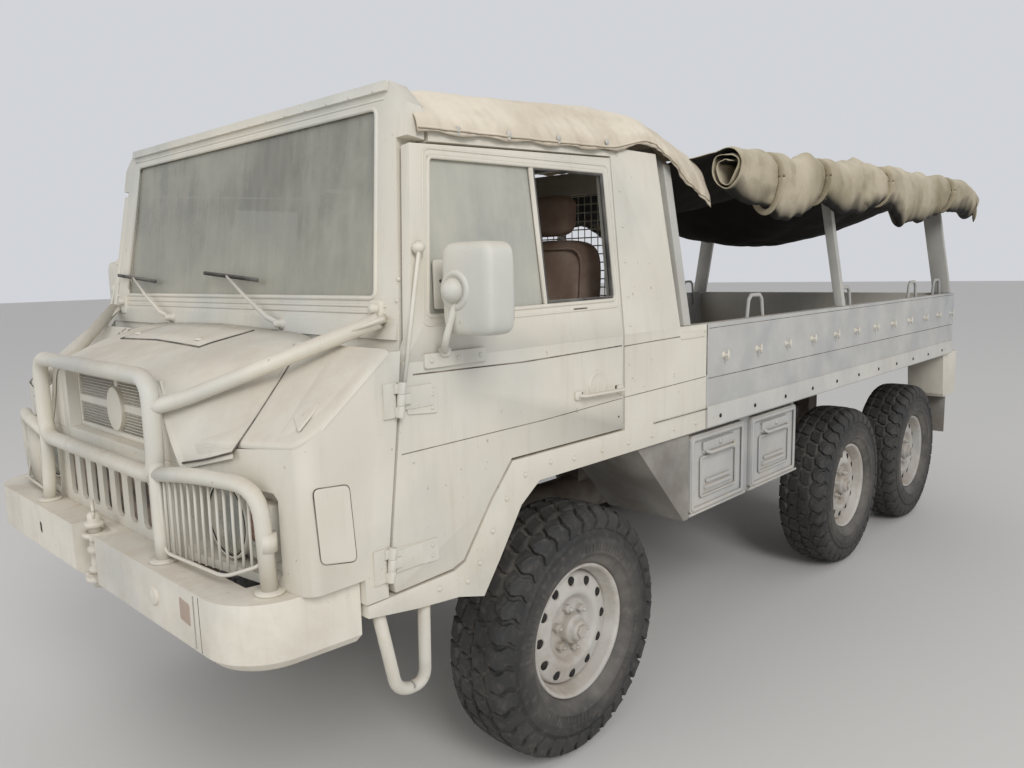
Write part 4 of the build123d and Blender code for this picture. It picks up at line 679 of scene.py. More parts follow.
def take_off_step(work):
    """Removes the flat-sided step tubes from a copy of the cab's sides."""
    gone = [corner for corner in work.verts
            if corner.co.z < 0.700 and FRONT_AXLE_X + 0.60 < corner.co.x < FRONT_AXLE_X + 0.86]
    bmesh.ops.delete(work, geom=gone, context="VERTS")


def take_off_handle(work):
    """Removes the flat pull handle from a door's copy."""
    gone = [corner for corner in work.verts
            if abs(corner.co.y) > 0.9075 and 1.14 < corner.co.z < 1.20 and corner.co.x < FRONT_AXLE_X + 0.12]
    bmesh.ops.delete(work, geom=gone, context="VERTS")


# Pressed panels
# The sheet-metal parts are pressed or folded, so no edge on them is sharp. Each is the CAD panel
# with its flat faces joined and every edge rolled over by a few millimetres.
PRESSED = (
    # node, finish, how far the edges roll over, how many steps the roll has
    ("nose_body", "cream_paint", 0.003, 2), ("door_left", "cream_paint", 0.0022, 2),
    ("door_right", "cream_paint", 0.0022, 2), ("cab_sides", "cream_paint", 0.0025, 2),
    ("bed_sides", "bed_paint", 0.0025, 2), ("tailgate", "cream_paint", 0.003, 2),
    ("windscreen_frame", "cream_paint", 0.0025, 2), ("front_bumper", "bumper_paint", 0.012, 4),
    ("rear_bumper", "cream_paint", 0.004, 2), ("lockers", "bed_paint", 0.003, 2),
    ("mudguards", "guard_paint", 0.002, 2), ("bed_hoops", "galvanised", 0.003, 2),
    ("locker_lid_front_left", "bed_paint", 0.002, 2), ("locker_lid_front_right", "bed_paint", 0.002, 2),
    ("locker_lid_rear_left", "bed_paint", 0.002, 2), ("locker_lid_rear_right", "bed_paint", 0.002, 2),
    ("upper_grille", "cream_paint", 0.0015, 2), ("dashboard", "cab_black", 0.006, 2),
    ("cab_rear_panel", "cream_paint", 0.003, 2),
)
MENDED = {
    # node: what is taken off its copy
    "nose_body": open_slope, "windscreen_frame": take_off_wipers, "cab_sides": take_off_step,
    "door_left": take_off_handle, "door_right": take_off_handle,
}
CAD_TOUCHING = 1e-5
SAME_PLANE = np.radians(0.6)
SHARP_FROM = np.radians(22)


def pressed(node, finish, edge, steps):
    """A copy of a CAD panel with its doubled points merged, flat faces joined and edges rolled over."""
    work = bmesh.new()
    work.from_mesh(nodes[node].data)
    bmesh.ops.remove_doubles(work, verts=work.verts, dist=CAD_TOUCHING)
    if node in MENDED:
        MENDED[node](work)
    bmesh.ops.dissolve_limit(work, angle_limit=SAME_PLANE, verts=work.verts, edges=work.edges)
    mesh = bpy.data.meshes.new(node + "_pressed")
    work.to_mesh(mesh)
    work.free()
    mesh.polygons.foreach_set("use_smooth", np.full(len(mesh.polygons), True))
    piece = bpy.data.objects.new(node + "_pressed", mesh)
    bpy.context.scene.collection.objects.link(piece)
    roll = piece.modifiers.new("rolled edge", "BEVEL")
    roll.width = edge
    roll.segments = steps
    roll.limit_method = "ANGLE"
    roll.angle_limit = SHARP_FROM
    roll.harden_normals = True
    return dress(piece, finish, body_of[node], node)


for node, finish, edge, steps in PRESSED:
    pressed(node, finish, edge, steps)


# Bonnet
# One deep pressing: a flat top, and sides that fan from the upright edges beside the grille out to
# the shut lines on the fender slopes, rolled softly into the top. Its front lip is curled under.
BONNET_EDGE = ((1.062, 0.372, 1.288), (0.960, 0.430, 1.322), (0.870, 0.478, 1.346), (0.771, 0.528, 1.366))
BONNET_FRONT = ((1.062, 0.372, 1.288), (1.062, 0.398, 1.210), (1.061, 0.430, 1.140), (1.060, 0.470, 1.092))
BONNET_SHUT = ((0.771, 0.559, 1.3595), (0.876, 0.612, 1.2760), (0.964, 0.652, 1.2060), (1.041, 0.683, 1.1465))
BONNET_CROWN = ((1.062, 0, 1.303), (0.960, 0, 1.334), (0.870, 0, 1.358), (0.771, 0, 1.378))
BONNET_LIP = ((0.0010, -0.006, -0.018), (0.0085, -0.001, -0.013), (0.0075, 0, -0.004))
BONNET_STATIONS, BONNET_ROWS, TOP_ROWS = 24, 16, 13
CROWN_RISE, SIDE_SWELL, FOOT_DEPTH = 0.010, 0.005, 0.012
COWL_X, COWL_RISE, COWL_DROP = 0.712, 0.012, 0.020


def along_line(corners, count):
    """count places evenly spaced in share along a line of corners, which stand at even shares."""
    corners = np.asarray(corners, float)
    share = np.linspace(0, 1, count)
    ends = np.linspace(0, 1, len(corners))
    return np.stack([np.interp(share, ends, corners[:, axis]) for axis in range(3)], -1)


def softened(values, times):
    """Rows of values smoothed along their first way by averaging neighbours, with both ends kept."""
    values = values.copy()
    for _ in range(times):
        values[1:-1] = values[:-2] / 4 + values[1:-1] / 2 + values[2:] / 4
    return values


fan = np.linspace(0, 1, BONNET_STATIONS)[:, None, None]
front_edge, shut_line = along_line(BONNET_FRONT, BONNET_ROWS), along_line(BONNET_SHUT, BONNET_ROWS)
side_face = (1 - fan) * front_edge[None] + fan * shut_line[None]
side_face[:, 6:, 1] += SIDE_SWELL * np.sin(np.linspace(0, 1, BONNET_ROWS - 6) * np.pi)[None]
edge_line, crown_line = along_line(BONNET_EDGE, BONNET_STATIONS), along_line(BONNET_CROWN, BONNET_STATIONS)
down_share = np.linspace(0, 1, BONNET_ROWS)[None, :, None]
side_face += (edge_line - side_face[:, 0])[:, None] * (1 - down_share) ** 2
top_share = np.linspace(0, 1, TOP_ROWS + 1)[None, :-1, None]
top_face = crown_line[:, None] * (1 - top_share) + edge_line[:, None] * top_share
top_face[..., 2] += CROWN_RISE * (1 - top_share[..., 0] ** 4) * (1 - fan[..., 0] * 0.6)
section = np.concatenate([top_face, side_face], 1)
section = np.swapaxes(softened(np.swapaxes(section, 0, 1), 5), 0, 1)
half_skin = np.concatenate([section[:1] + np.array(step) for step in BONNET_LIP] + [section])
half_skin = np.concatenate([half_skin, half_skin[:, -1:] - (0, 0, FOOT_DEPTH)], 1)
half_skin[..., 0] += FRONT_AXLE_X

# The strip that carries the bonnet's rear edge back under the windscreen
rear_strip = section[-1:, :TOP_ROWS + 2].copy()
rear_strip[..., 0] = COWL_X
rear_strip[..., 2] += COWL_RISE
rear_rows = np.concatenate([section[-1:, :TOP_ROWS + 2], rear_strip, rear_strip - (0, 0, COWL_DROP)])
rear_rows[..., 0] += FRONT_AXLE_X
rear_foot = rear_rows[:, -1:].copy()
rear_foot[..., 1:] = (0.562, 1.352)
rear_rows = np.concatenate([rear_rows, rear_foot], 1)
fitted("bonnet_skin", "cream_paint", both_sides(joined(grid(half_skin), grid(rear_rows))), stands_for="bonnet")


# Fender tops
# The sloping plates between the bonnet's shut lines and the fender sides. Their outer and front
# edges are rolled over a soft radius and run down the walls below.
TOP_LIFT = 0.0028
TOP_BEND = 0.021
TOP_ROLL = 0.013
TOP_RIM = ((0.766, 0.9004, 0), (0.958, 0.9004, 0), (0.996, 0.866, 0), (1.0425, 0.430, 0))
RIM_STEPS, SLOPE_STEPS = 90, 16


def on_slope(x, y, height=0.0):
    """Places on the fender slope, raised along its normal. x falls away from the cowl at a fixed rate."""
    x, y, height = np.broadcast_arrays(np.asarray(x, float), y, height)
    flat = np.stack([FRONT_AXLE_X + x, y, SLOPE_TOP_Z - FENDER_FALL * (x - SLOPE_TOP_X)], -1)
    return flat + height[..., None] * SLOPE


rim = rounded(TOP_RIM, TOP_BEND, 12)
run = np.concatenate([[0], np.cumsum(np.linalg.norm(np.diff(rim, axis=0), axis=1))])
rim = np.stack([np.interp(np.linspace(0, run[-1], RIM_STEPS), run, rim[:, axis]) for axis in range(2)], -1)
inner_line = np.stack([np.interp(rim[:, 0], (0.766, 1.0425), (0.766, 0.96)),
                       np.interp(rim[:, 1], (0.43, 0.9), (0.43, 0.53))], -1)
plan = [inner_line * (1 - part) + rim * part for part in np.linspace(0, 1, SLOPE_STEPS)]
slope_rows = [on_slope(row[:, 0], row[:, 1], TOP_LIFT) for row in plan]
forwards, sideways = (np.interp(rim[:, 1], (0.86, 0.9), reach) for reach in ((0.0022, 0), (0, 0.0012)))
outwards = np.stack([forwards, sideways, np.zeros(RIM_STEPS)], -1)
rolled = [slope_rows[-1] + outwards - (0, 0, TOP_ROLL * depth) for depth in (0.35, 1)]
fender_top = grid(softened(np.stack(slope_rows + rolled), 1))
fitted("fender_tops", "cream_paint", both_sides(fender_top))


# Bonnet seams and hatch
# The shut lines show as dark gaps along the slopes. A shallow tray lid over the air intake, with a
# dark gap round it and two turn buttons, is let into the bonnet's top.
SUNK = 0.001
BOLT_HEAD = ((1, 0.35), (0.86, 0.75), (0.45, 1), (0, 1))


def plain_finish(name, low_colour, high_colour, share_from, roughness, **noise):
    """One colour clouded with another: noise, read at the point's place and held between the two
    values of share_from, mixes them. Gives the material, its tree, its shader and that share."""
    material, tree, surface = shader(name)
    cloud = between(tree, value_noise(tree, object_place(tree), **noise), *share_from)
    tree.links.new(mixed(tree, cloud, low_colour, high_colour), surface.inputs["Base Color"])
    surface.inputs["Roughness"].default_value = roughness
    return material, tree, surface, cloud


def facing_basis(facing):
    """Two directions square to facing and to each other."""
    facing = unit(np.asarray(facing, float))
    first = unit(np.cross(facing, (0, 0, 1.0) if abs(facing[2]) < 0.9 else (1.0, 0, 0)))
    return first, facing, np.cross(facing, first)


def set_at(form, place, facing):
    """A form that stands along Y put at a place so that it stands along facing."""
    first, out, second = facing_basis(facing)
    points = form[0][:, :1] * first + form[0][:, 1:2] * out + form[0][:, 2:] * second
    return points + np.asarray(place, float), form[1], form[2]


def studs(places, facing, size=0.007, height=0.004, sides=8):
    """Low round heads of bolts or rivets at those places on a face."""
    head = turned([(size, -SUNK)] + [(size * wide, height * rise) for wide, rise in BOLT_HEAD], sides)
    return joined(*[set_at(head, place, facing) for place in places])


def on_bonnet_top(x, y, height=0.0):
    """Places over the bonnet's top, by its crown line and its fall to the edge line at that x."""
    x, y = np.broadcast_arrays(np.asarray(x, float), np.asarray(y, float))
    crown, edge = np.array(BONNET_CROWN)[::-1], np.array(BONNET_EDGE)[::-1]
    behind = (crown[0, 0] - np.minimum(x, crown[0, 0])) * 0.20
    crown_z = np.interp(x, crown[:, 0], crown[:, 2]) + behind
    share = np.clip(np.abs(y) / np.interp(x, edge[:, 0], edge[:, 1]), 0, 1)
    fall = crown_z - np.interp(x, edge[:, 0], edge[:, 2]) - behind
    crown_up = CROWN_RISE * (1 - share ** 4) * (1 - 0.6 * np.clip((1.062 - x) / 0.291, 0, 1))
    return np.stack([FRONT_AXLE_X + x, y, crown_z - fall * share + crown_up + height], -1)


# Dark at the gaps of joints; where it lies in the pressed creases, the same dark is painted shade.
finishes["seam"] = plain_finish("dark gap and crease shade", (0.10, 0.085, 0.07, 1), (0.24, 0.205, 0.165, 1), (0.42, 0.62), 0.9,
                                scale=14.0, detail=3.0)[0]
# Near black: painted shade for holes, slots and the shaded brake drums; it also darkens the gap round each
# headlamp.
finishes["hole"] = plain_finish("hole", (0.012, 0.011, 0.010, 1), (0.035, 0.03, 0.025, 1), (0.4, 0.7), 0.9,
                                scale=60.0)[0]

SHUT_FOOT = ((1.041, 0.683, 1.1465), (1.052, 0.58, 1.118), (1.061, 0.47, 1.094))
shut_route = np.concatenate([along_line(BONNET_SHUT, 20), along_line(SHUT_FOOT, 8)[1:]])
shut_route[:, 0] += FRONT_AXLE_X
shut_gap = pipe(shut_route + 0.0022 * SLOPE, 0.0024, UP, 6)
fitted("bonnet_gaps", "seam", both_sides(shut_gap))

HATCH_X, HATCH_HALF = (0.742, 0.896), 0.256
HATCH_LIFT, HATCH_FOOT, HATCH_ROLL = 0.0060, -0.002, 0.002
hatch_across = np.linspace(-HATCH_HALF, HATCH_HALF, 18)
hatch_x, hatch_y = np.meshgrid(np.linspace(*HATCH_X, 8), hatch_across, indexing="ij")
hatch_height = np.full_like(hatch_x, HATCH_LIFT)
hatch_height[[0, -1]] = HATCH_FOOT
hatch_height[:, [0, -1]] = HATCH_FOOT
hatch_x[1], hatch_x[-2] = hatch_x[0] + HATCH_ROLL, hatch_x[-1] - HATCH_ROLL
hatch_y[:, 1], hatch_y[:, -2] = hatch_y[:, 0] + HATCH_ROLL, hatch_y[:, -1] - HATCH_ROLL
turn_buttons = studs([on_bonnet_top(0.872, y, HATCH_LIFT) for y in (-0.2, 0.2)], UP, 0.011, 0.006, 12)
hatch_lid = grid(on_bonnet_top(hatch_x, hatch_y, hatch_height))
fitted("bonnet_hatch", "cream_paint", hatch_lid, turn_buttons)
gap_x, gap_y = (0.740, 0.902), 0.264
gap_line = np.concatenate([np.stack([np.linspace(*gap_x, 9), np.full(9, gap_y)], -1),
                           np.stack([np.full(19, gap_x[1]), np.linspace(gap_y, -gap_y, 19)], -1)[1:],
                           np.stack([np.linspace(*gap_x[::-1], 9), np.full(9, -gap_y)], -1)[1:]])
hatch_gap = pipe(on_bonnet_top(gap_line[:, 0], gap_line[:, 1], 0.0005), 0.0032, UP, 6)
fitted("bonnet_hatch_gap", "seam", hatch_gap)


# Fender steps, plates and hatches
# A low step is pressed into each fender slope, with a small bare plate at its outer end. A flush
# hatch with a gasket round it closes an opening in each fender's side.
STEP_LIFT = 0.0028
STEP_FOOT = -0.0006
STEP_SECTION = ((0, STEP_FOOT), (0.10, 0.0018), (0.25, 0.0036), (0.75, 0.0036), (0.92, 0.0016), (1, STEP_FOOT))
PLATE = ((0.972, 0.852), (0.944, 0.790), (0.912, 0.800), (0.905, 0.834), (0.930, 0.846))
SIDE_HATCH = ((0.979, 0.9, 1.087), (0.890, 0.9, 1.079), (0.879, 0.9, 0.902), (0.969, 0.9, 0.919))


def swept(route, section, facing, closed=False):
    """A section of (across, out) points carried along a route that lies on a face: out is along the
    face's normal, and across is square to both. An open route's ends are closed."""
    route, facing = np.asarray(route, float), np.asarray(facing, float)
    section = np.asarray(section, float)
    if closed:
        along = unit(np.roll(route, -1, 0) - np.roll(route, 1, 0))
    else:
        along = unit(np.gradient(route, axis=0))
    side = unit(np.cross(np.broadcast_to(facing, route.shape), along))
    rings = route[:, None] + section[None, :, :1] * side[:, None] + section[None, :, 1:] * facing
    if closed:
        return grid(rings, wrap_u=True, wrap_v=True)
    middle = rings.mean(1, keepdims=True)
    first, last = (np.repeat(middle[end:end + 1], len(section), 1) for end in (0, len(rings) - 1))
    return grid(np.concatenate([first, rings, last]), wrap_v=True)


def flat_strip(width, high=0.0006):
    """The section of a thin strip: feet a little sunk in the face and a flat top."""
    half = ((width / 2, -SUNK), (width / 2, high * 0.6), (width * 0.3, high))
    return tuple((-across, out) for across, out in half) + half[::-1]


def shrunk(outline, by):
    """An outline drawn in towards its middle by about that much."""
    middle = outline.mean(0)
    reach = np.linalg.norm(outline - middle, axis=-1).mean()
    return middle + (outline - middle) * (1 - by / reach)


def slab(outline, facing, thick, edge=0.0015):
    """A plate on a face: its outline raised along the normal, its rim rolled in, its middle closed."""
    outline, facing = np.asarray(outline, float), np.asarray(facing, float)
    rings = [outline - SUNK * facing, outline + (thick - edge) * facing]
    rings += [shrunk(outline, edge * inwards) + (thick - edge * below) * facing
              for inwards, below in ((0.4, 0.3), (1.2, 0), (3, 0))]
    rings.append(np.broadcast_to(rings[-1].mean(0), outline.shape))
    return grid(np.stack(rings), wrap_v=True)


def rounded_outline(corners, bend, steps=5):
    """A closed outline through corners with each one rounded."""
    corners = np.asarray(corners, float)
    return rounded(np.concatenate([corners[-1:], corners, corners[:1]]), bend, steps)[1:-1]


step_u = np.linspace(0, 1, 9)
inner_x = np.interp(step_u, (0, 0.7, 1), (0.985, 0.844, 0.786))
inner_y = np.interp(step_u, (0, 0.7, 1), (0.790, 0.733, 0.710))
outer_y = np.interp(step_u, (0, 0.3, 1), (0.815, 0.860, 0.866))
step_v, step_rise = np.array(STEP_SECTION).T
step_y = inner_y[:, None] + (outer_y - inner_y)[:, None] * step_v
step_height = step_rise[None] * np.minimum(1, np.minimum(step_u, 1 - step_u) * 9)[:, None]
step_height = np.where(step_height == 0, STEP_FOOT, step_height) + STEP_LIFT
fender_step = grid(on_slope(inner_x[:, None] + 0 * step_y, step_y, step_height))
fender_plate = slab(rounded_outline(on_slope(*np.array(PLATE).T, 0.0062), 0.006), SLOPE, 0.0040)
side_hatch_outline = rounded_outline(spots(*SIDE_HATCH), 0.014)
side_hatch = slab(side_hatch_outline, SIDE, 0.0022)
pressings = joined(fender_step, fender_plate, side_hatch)
fitted("fender_pressings", "cream_paint", both_sides(pressings))
side_hatch_gap = swept(side_hatch_outline, flat_strip(0.0045, 0.0009), SIDE, closed=True)
fitted("fender_hatch_gaps", "seam", both_sides(side_hatch_gap))


# Grilles
# Woven wire behind a flat steel cross, half choked with paint and dust, so it shows dark only here and there:
# that dark, on a plate behind it, is painted shade. Below it are eight slots whose backs are painted shade, and
# narrow walls stand at both sides.
MESH_PITCH, MESH_WIRE = 0.0085, 0.0013
MESH_X, MESH_HALF, MESH_Z = 1.0235, 0.296, (1.096, 1.264)
BACK_X, BACK_Y, BACK_Z = 1.0190, (-0.297, 0.297), (1.0945, 1.2655)
SLOT_COUNT, SLOT_PITCH = 8, 0.09
SLOT_X, SLOT_HALF, SLOT_Z = 1.0480, 0.0225, (0.881, 1.007)
WALL = ((0.345, 1.286), (0.376, 1.286), (0.402, 1.210), (0.434, 1.140), (0.474, 1.086), (0.345, 1.086))


def oblong(low, high, bend):
    """A closed outline with rounded corners between two opposite corners, on a face square to X or Y."""
    (x1, y1, z1), (x2, y2, z2) = low, high
    return rounded_outline(spots((x1, y1, z1), (x2, y2, z1), (x2, y2, z2), (x1, y1, z2)), bend)


def wire_net(x, level_x, half, ends, wire, upright_y, level_z):
    """Upright wires on a face at x between two heights, and level ones across it at level_x."""
    upright = [pipe(spots((x, y, ends[0]), (x, y, ends[1])), wire, FRONT, 4) for y in upright_y]
    level = [pipe(spots((level_x, -half, z), (level_x, half, z)), wire, FRONT, 4) for z in level_z]
    return joined(*upright, *level)


grille_wires = wire_net(MESH_X, MESH_X + 0.001, MESH_HALF, MESH_Z, MESH_WIRE,
                        np.arange(-0.292, 0.2925, MESH_PITCH), np.arange(1.0985, 1.262, MESH_PITCH))
fitted("grille_wires", "cream_paint", grille_wires)
back_y, back_z = np.meshgrid(BACK_Y, BACK_Z, indexing="ij")
mesh_back = grid(np.stack([FRONT_AXLE_X + BACK_X + 0 * back_y, back_y, back_z], -1))
# The plate behind the wires mixes near-black painted shade with the cream of the choked mesh, by noise.
finishes["choked_mesh_and_shade"] = plain_finish("choked mesh and painted shade", (0.035, 0.032, 0.028, 1), (0.42, 0.36, 0.28, 1),
                                       (0.44, 0.60), 0.9, scale=5.0, detail=3.0, rough=0.5)[0]
# The slots' backs are painted shade: near black, clouded with brown.
finishes["slot_back_shade"] = plain_finish("grille slot painted shade", (0.050, 0.040, 0.032, 1), (0.25, 0.19, 0.14, 1),
                                     (0.40, 0.62), 0.9, scale=16.0)[0]
fitted("grille_back", "choked_mesh_and_shade", mesh_back)
slot_y = (np.arange(SLOT_COUNT) - (SLOT_COUNT - 1) / 2) * SLOT_PITCH
slots = [oblong((SLOT_X, y - SLOT_HALF, SLOT_Z[0]), (SLOT_X, y + SLOT_HALF, SLOT_Z[1]), 0.01) for y in slot_y]
fitted("grille_slot_backs", "slot_back_shade", *[slab(outline, FRONT, 0.0015) for outline in slots])
side_wall = slab(rounded_outline(spots(*[(1.0555, y, z) for y, z in WALL]), 0.004), FRONT, 0.005)
fitted("grille_side_walls", "cream_paint", both_sides(side_wall))


# Lamps
# Sealed round headlamps with fluted glass in a painted bezel, and upright indicators whose lens is
# reddish brown above and clear below. A thin dark gap runs round each headlamp's glass.
LAMP = spot(1.018, 0.598, 0.972)
BEZEL = ((0.070, -0.035), (0.086, -0.030), (0.0935, -0.004), (0.0945, 0.004), (0.0915, 0.0085),
         (0.0875, 0.0070), (0.0865, 0.001))
LAMP_RIM = ((0.0865, 0.002), (0.0872, 0.006), (0.0858, 0.0085), (0.0845, 0.007))
LAMP_GLASS = ((0.0868, 0.000), (0.084, 0.006), (0.070, 0.0125), (0.045, 0.0175), (0.020, 0.0195), (0, 0.0200))
LAMP_SIDES = 48
FLUTES, LENS_RIBS = 900.0, 1100.0


def ribs(tree, place, times):
    """A sine wave of the given number of radians a metre along one coordinate."""
    return arithmetic(tree, "SINE", arithmetic(tree, "MULTIPLY", place, times), 0.0)


def upright_box(y_low, y_high, z_low, z_high, x, thick, bend=0.008):
    """A rounded block on an upright face at x, as tall and wide as given."""
    return slab(oblong((x, y_low, z_low), (x, y_high, z_high), bend), FRONT, thick, 0.003)


def at_lamps(profile):
    """A profile turned about the axis of each headlamp."""
    return both_sides(set_at(turned(profile, LAMP_SIDES), LAMP, FRONT))


fluted, fluted_tree, fluted_shader, lamp_dust = plain_finish(
    "fluted lamp glass", (0.25, 0.255, 0.225, 1), (0.48, 0.45, 0.37, 1), (0.40, 0.70), 0.5, scale=12.0)
fluted_tree.links.new(between(fluted_tree, lamp_dust, 0.0, 1.0, to_low=0.12, to_high=0.5),
                      fluted_shader.inputs["Roughness"])
flutes = ribs(fluted_tree, parted(fluted_tree, object_place(fluted_tree))[1], FLUTES)
relief(fluted_tree, flutes, 0.5, 0.0012, fluted_shader)
brown_lens, lens_tree, lens_shader, _ = plain_finish(
    "reddish brown lens", (0.16, 0.055, 0.035, 1), (0.34, 0.24, 0.18, 1), (0.42, 0.70), 0.35, scale=30.0)
lens_ribs = ribs(lens_tree, parted(lens_tree, object_place(lens_tree))[2], LENS_RIBS)
relief(lens_tree, lens_ribs, 0.4, 0.001, lens_shader)
finishes.update(lamp_glass=fluted, brown_lens=brown_lens)
fitted("headlamp_rims", "hole", at_lamps(LAMP_RIM))
fitted("headlamp_glass", "lamp_glass", at_lamps(LAMP_GLASS), stands_for="front_lamps")
fitted("headlamp_bezels", "cream_paint", at_lamps(BEZEL))
for name, finish, box in (
    ("indicator_lenses", "brown_lens", (0.704, 0.760, 0.948, 1.026, 1.004, 0.020)),
    ("side_lamp_glass", "lamp_glass", (0.704, 0.760, 0.906, 0.945, 1.004, 0.020)),
    ("lamp_boxes", "cream_paint", (0.696, 0.768, 0.898, 1.034, 0.981, 0.026)),
):
    fitted(name, finish, both_sides(upright_box(*box)))


# Front bumper fittings
# A tow coupling stands in the gap: a pinned shaft with collars and a ring to lift it by. A plug, a
# joint in the sheet and a patch of lost paint show on the left half, and a slot on the right.
SHAFT = (
    # radius, height: the pin's foot, three collars and the head
    (0, -0.014), (0.0155, -0.012), (0.0155, 0.030), (0.024, 0.034), (0.024, 0.046), (0.0165, 0.050),
    (0.0165, 0.086), (0.023, 0.090), (0.023, 0.104), (0.0165, 0.108), (0.0165, 0.160), (0.026, 0.164),
    (0.026, 0.176), (0.017, 0.180), (0.017, 0.196), (0.012, 0.204), (0, 0.206),
)
WASHER = ((0.031, 0), (0.034, 0.004), (0.034, 0.010), (0.031, 0.014), (0.02, 0.014), (0.02, 0))
PLUG = ((0.024, -0.002), (0.024, 0.003), (0.020, 0.0055), (0.017, 0.0045), (0.012, 0.0065), (0, 0.0070))
COUPLING_X, BUMPER_X = 1.118, 1.150
RING_R, RING_Z = 0.024, 0.902
LOST_X = 1.1496
LOST_PAINT = ((LOST_X, 0.596, 0.824), (LOST_X, 0.646, 0.818), (LOST_X, 0.646, 0.766), (LOST_X, 0.596, 0.772))
JOINT_LINE = ((BUMPER_X, 0.690, 0.846), (BUMPER_X, 0.691, 0.780), (BUMPER_X, 0.693, 0.718))
JOINT_EDGE = ((BUMPER_X, 0.664, 0.842), (BUMPER_X, 0.668, 0.842), (BUMPER_X, 0.668, 0.722),
              (BUMPER_X, 0.664, 0.722))
SLOT = ((1.1497, -0.376, 0.800), (1.1497, -0.362, 0.796), (1.1497, -0.360, 0.764), (1.1497, -0.374, 0.768))


def ring_pipe(outline, radius, across, sides=14, flat=1.0):
    """A tube carried once round a closed outline."""
    return pipe(np.concatenate([outline, outline[:1]]), radius, across, sides, flat)


ring_turn = np.linspace(0, 2 * np.pi, 22, endpoint=False)
ring_shape = np.stack([0.35 * np.cos(ring_turn), np.cos(ring_turn), np.sin(ring_turn)], -1)
lift_ring = ring_pipe(np.array(spot(COUPLING_X, 0, RING_Z)) + RING_R * ring_shape, 0.0042, (0.94, -0.35, 0), 8)
washers = [set_at(turned(WASHER, 20), spot(COUPLING_X, 0, z), UP) for z in (0.700, 0.826)]
fitted("tow_coupling", "bumper_paint", set_at(turned(SHAFT, 20), spot(COUPLING_X, 0, 0.692), UP), lift_ring,
       *washers)
plug = set_at(turned(PLUG, 20), spot(BUMPER_X, 0.456, 0.788), FRONT)
fitted("bumper_plug", "bumper_paint", plug)
finishes["lost_paint"] = old_paint("lost paint", (0.36, 0.26, 0.20, 1), (0.62, 0.56, 0.47, 1), grime=0.2)
fitted("bumper_bare_patch", "lost_paint",
       slab(rounded_outline(spots(*LOST_PAINT), 0.006), FRONT, 0.0012, 0.0004))
joint_edge = swept(rounded_outline(spots(*JOINT_EDGE), 0.001), flat_strip(0.0012, 0.0004), FRONT, closed=True)
fitted("bumper_seams", "seam", swept(spots(*JOINT_LINE), flat_strip(0.0026, 0.0005), FRONT), joint_edge)
# The slot is a thin near-black plate: painted shade in the opening.
fitted("bumper_slot", "hole", slab(rounded_outline(spots(*SLOT), 0.005), FRONT, 0.0010, 0.0003))


# Windscreen
# Old flat glass, sprayed over and dusty, held in a rubber seal that was painted with the frame. Two
# wipers pivot on the lower rail, and the frame folds forward on a bracket at each foot.
GLASS_CORNERS = ((-0.750, 1.474), (0.750, 1.474), (0.706, 1.934), (-0.706, 1.934))
RAIL_LINES = ((1.456, 0.795), (1.440, 0.797), (1.395, 0.820), (1.952, 0.735))
PIVOT = ((0.016, -0.002), (0.016, 0.006), (0.011, 0.010), (0.011, 0.022), (0.007, 0.026), (0, 0.027))
WIPER_Y = (-0.345, 0.345)
ARM = (
    # to the right of the pivot, height, out of the screen, radius
    (0, 1.402, 0.024, 0.0085), (0.035, 1.416, 0.036, 0.0085), (0.150, 1.466, 0.036, 0.006),
    (0.298, 1.532, 0.026, 0.0042),
)
BLADE_REACH, BLADE_FALL = 0.165, 0.012
BRACKET = ((0.735, 1.405), (0.790, 1.405), (0.785, 1.470), (0.742, 1.470))
BRACKET_BOLT = ((0.014, 0.0), (0.014, 0.010), (0.010, 0.014), (0, 0.015))


def on_screen(y, z, out=0.0):
    """Places on the windscreen frame's plane, raised along its normal."""
    y, z = np.broadcast_arrays(np.asarray(y, float), np.asarray(z, float))
    flat = np.stack([SCREEN_FOOT[0] - (z - SCREEN_FOOT[2]) * np.tan(SCREEN_LEAN), y, z], -1)
    return flat + np.asarray(out, float)[..., None] * SCREEN


def dusty_glass(name, wiped_shade, thick, low, high):
    """Glass under dust and overspray: thin where it was wiped, where its dark colour is painted shade of the
    cab behind, and thick in clouds and low down.
    """
    material, tree, surface = shader(name)
    place = object_place(tree)
    cloud = between(tree, value_noise(tree, place, scale=2.6, detail=5.0, rough=0.62), 0.38, 0.66)
    streaks = value_noise(tree, stretched(tree, place, (14.0, 14.0, 1.2)), scale=2.0, detail=3.0)
    streak = between(tree, streaks, 0.40, 0.70, to_high=0.5)
    sunk = between(tree, parted(tree, place)[2], high, low, to_high=0.55)
    lower = arithmetic(tree, "ADD", arithmetic(tree, "MULTIPLY", streak, 0.4), sunk)
    cover = arithmetic(tree, "ADD", arithmetic(tree, "MULTIPLY", cloud, 0.55), lower)
    cover = between(tree, cover, 0.0, 1.1)
    # The wiped colour is painted shade seen through the glass; the thick colour is dust and overspray.
    tree.links.new(mixed(tree, cover, wiped_shade, thick), surface.inputs["Base Color"])
    tree.links.new(between(tree, cover, 0.0, 1.0, to_low=0.16, to_high=0.62), surface.inputs["Roughness"])
    tree.links.new(between(tree, cover, 0.0, 0.5, to_low=0.92), surface.inputs["Alpha"])
    return material


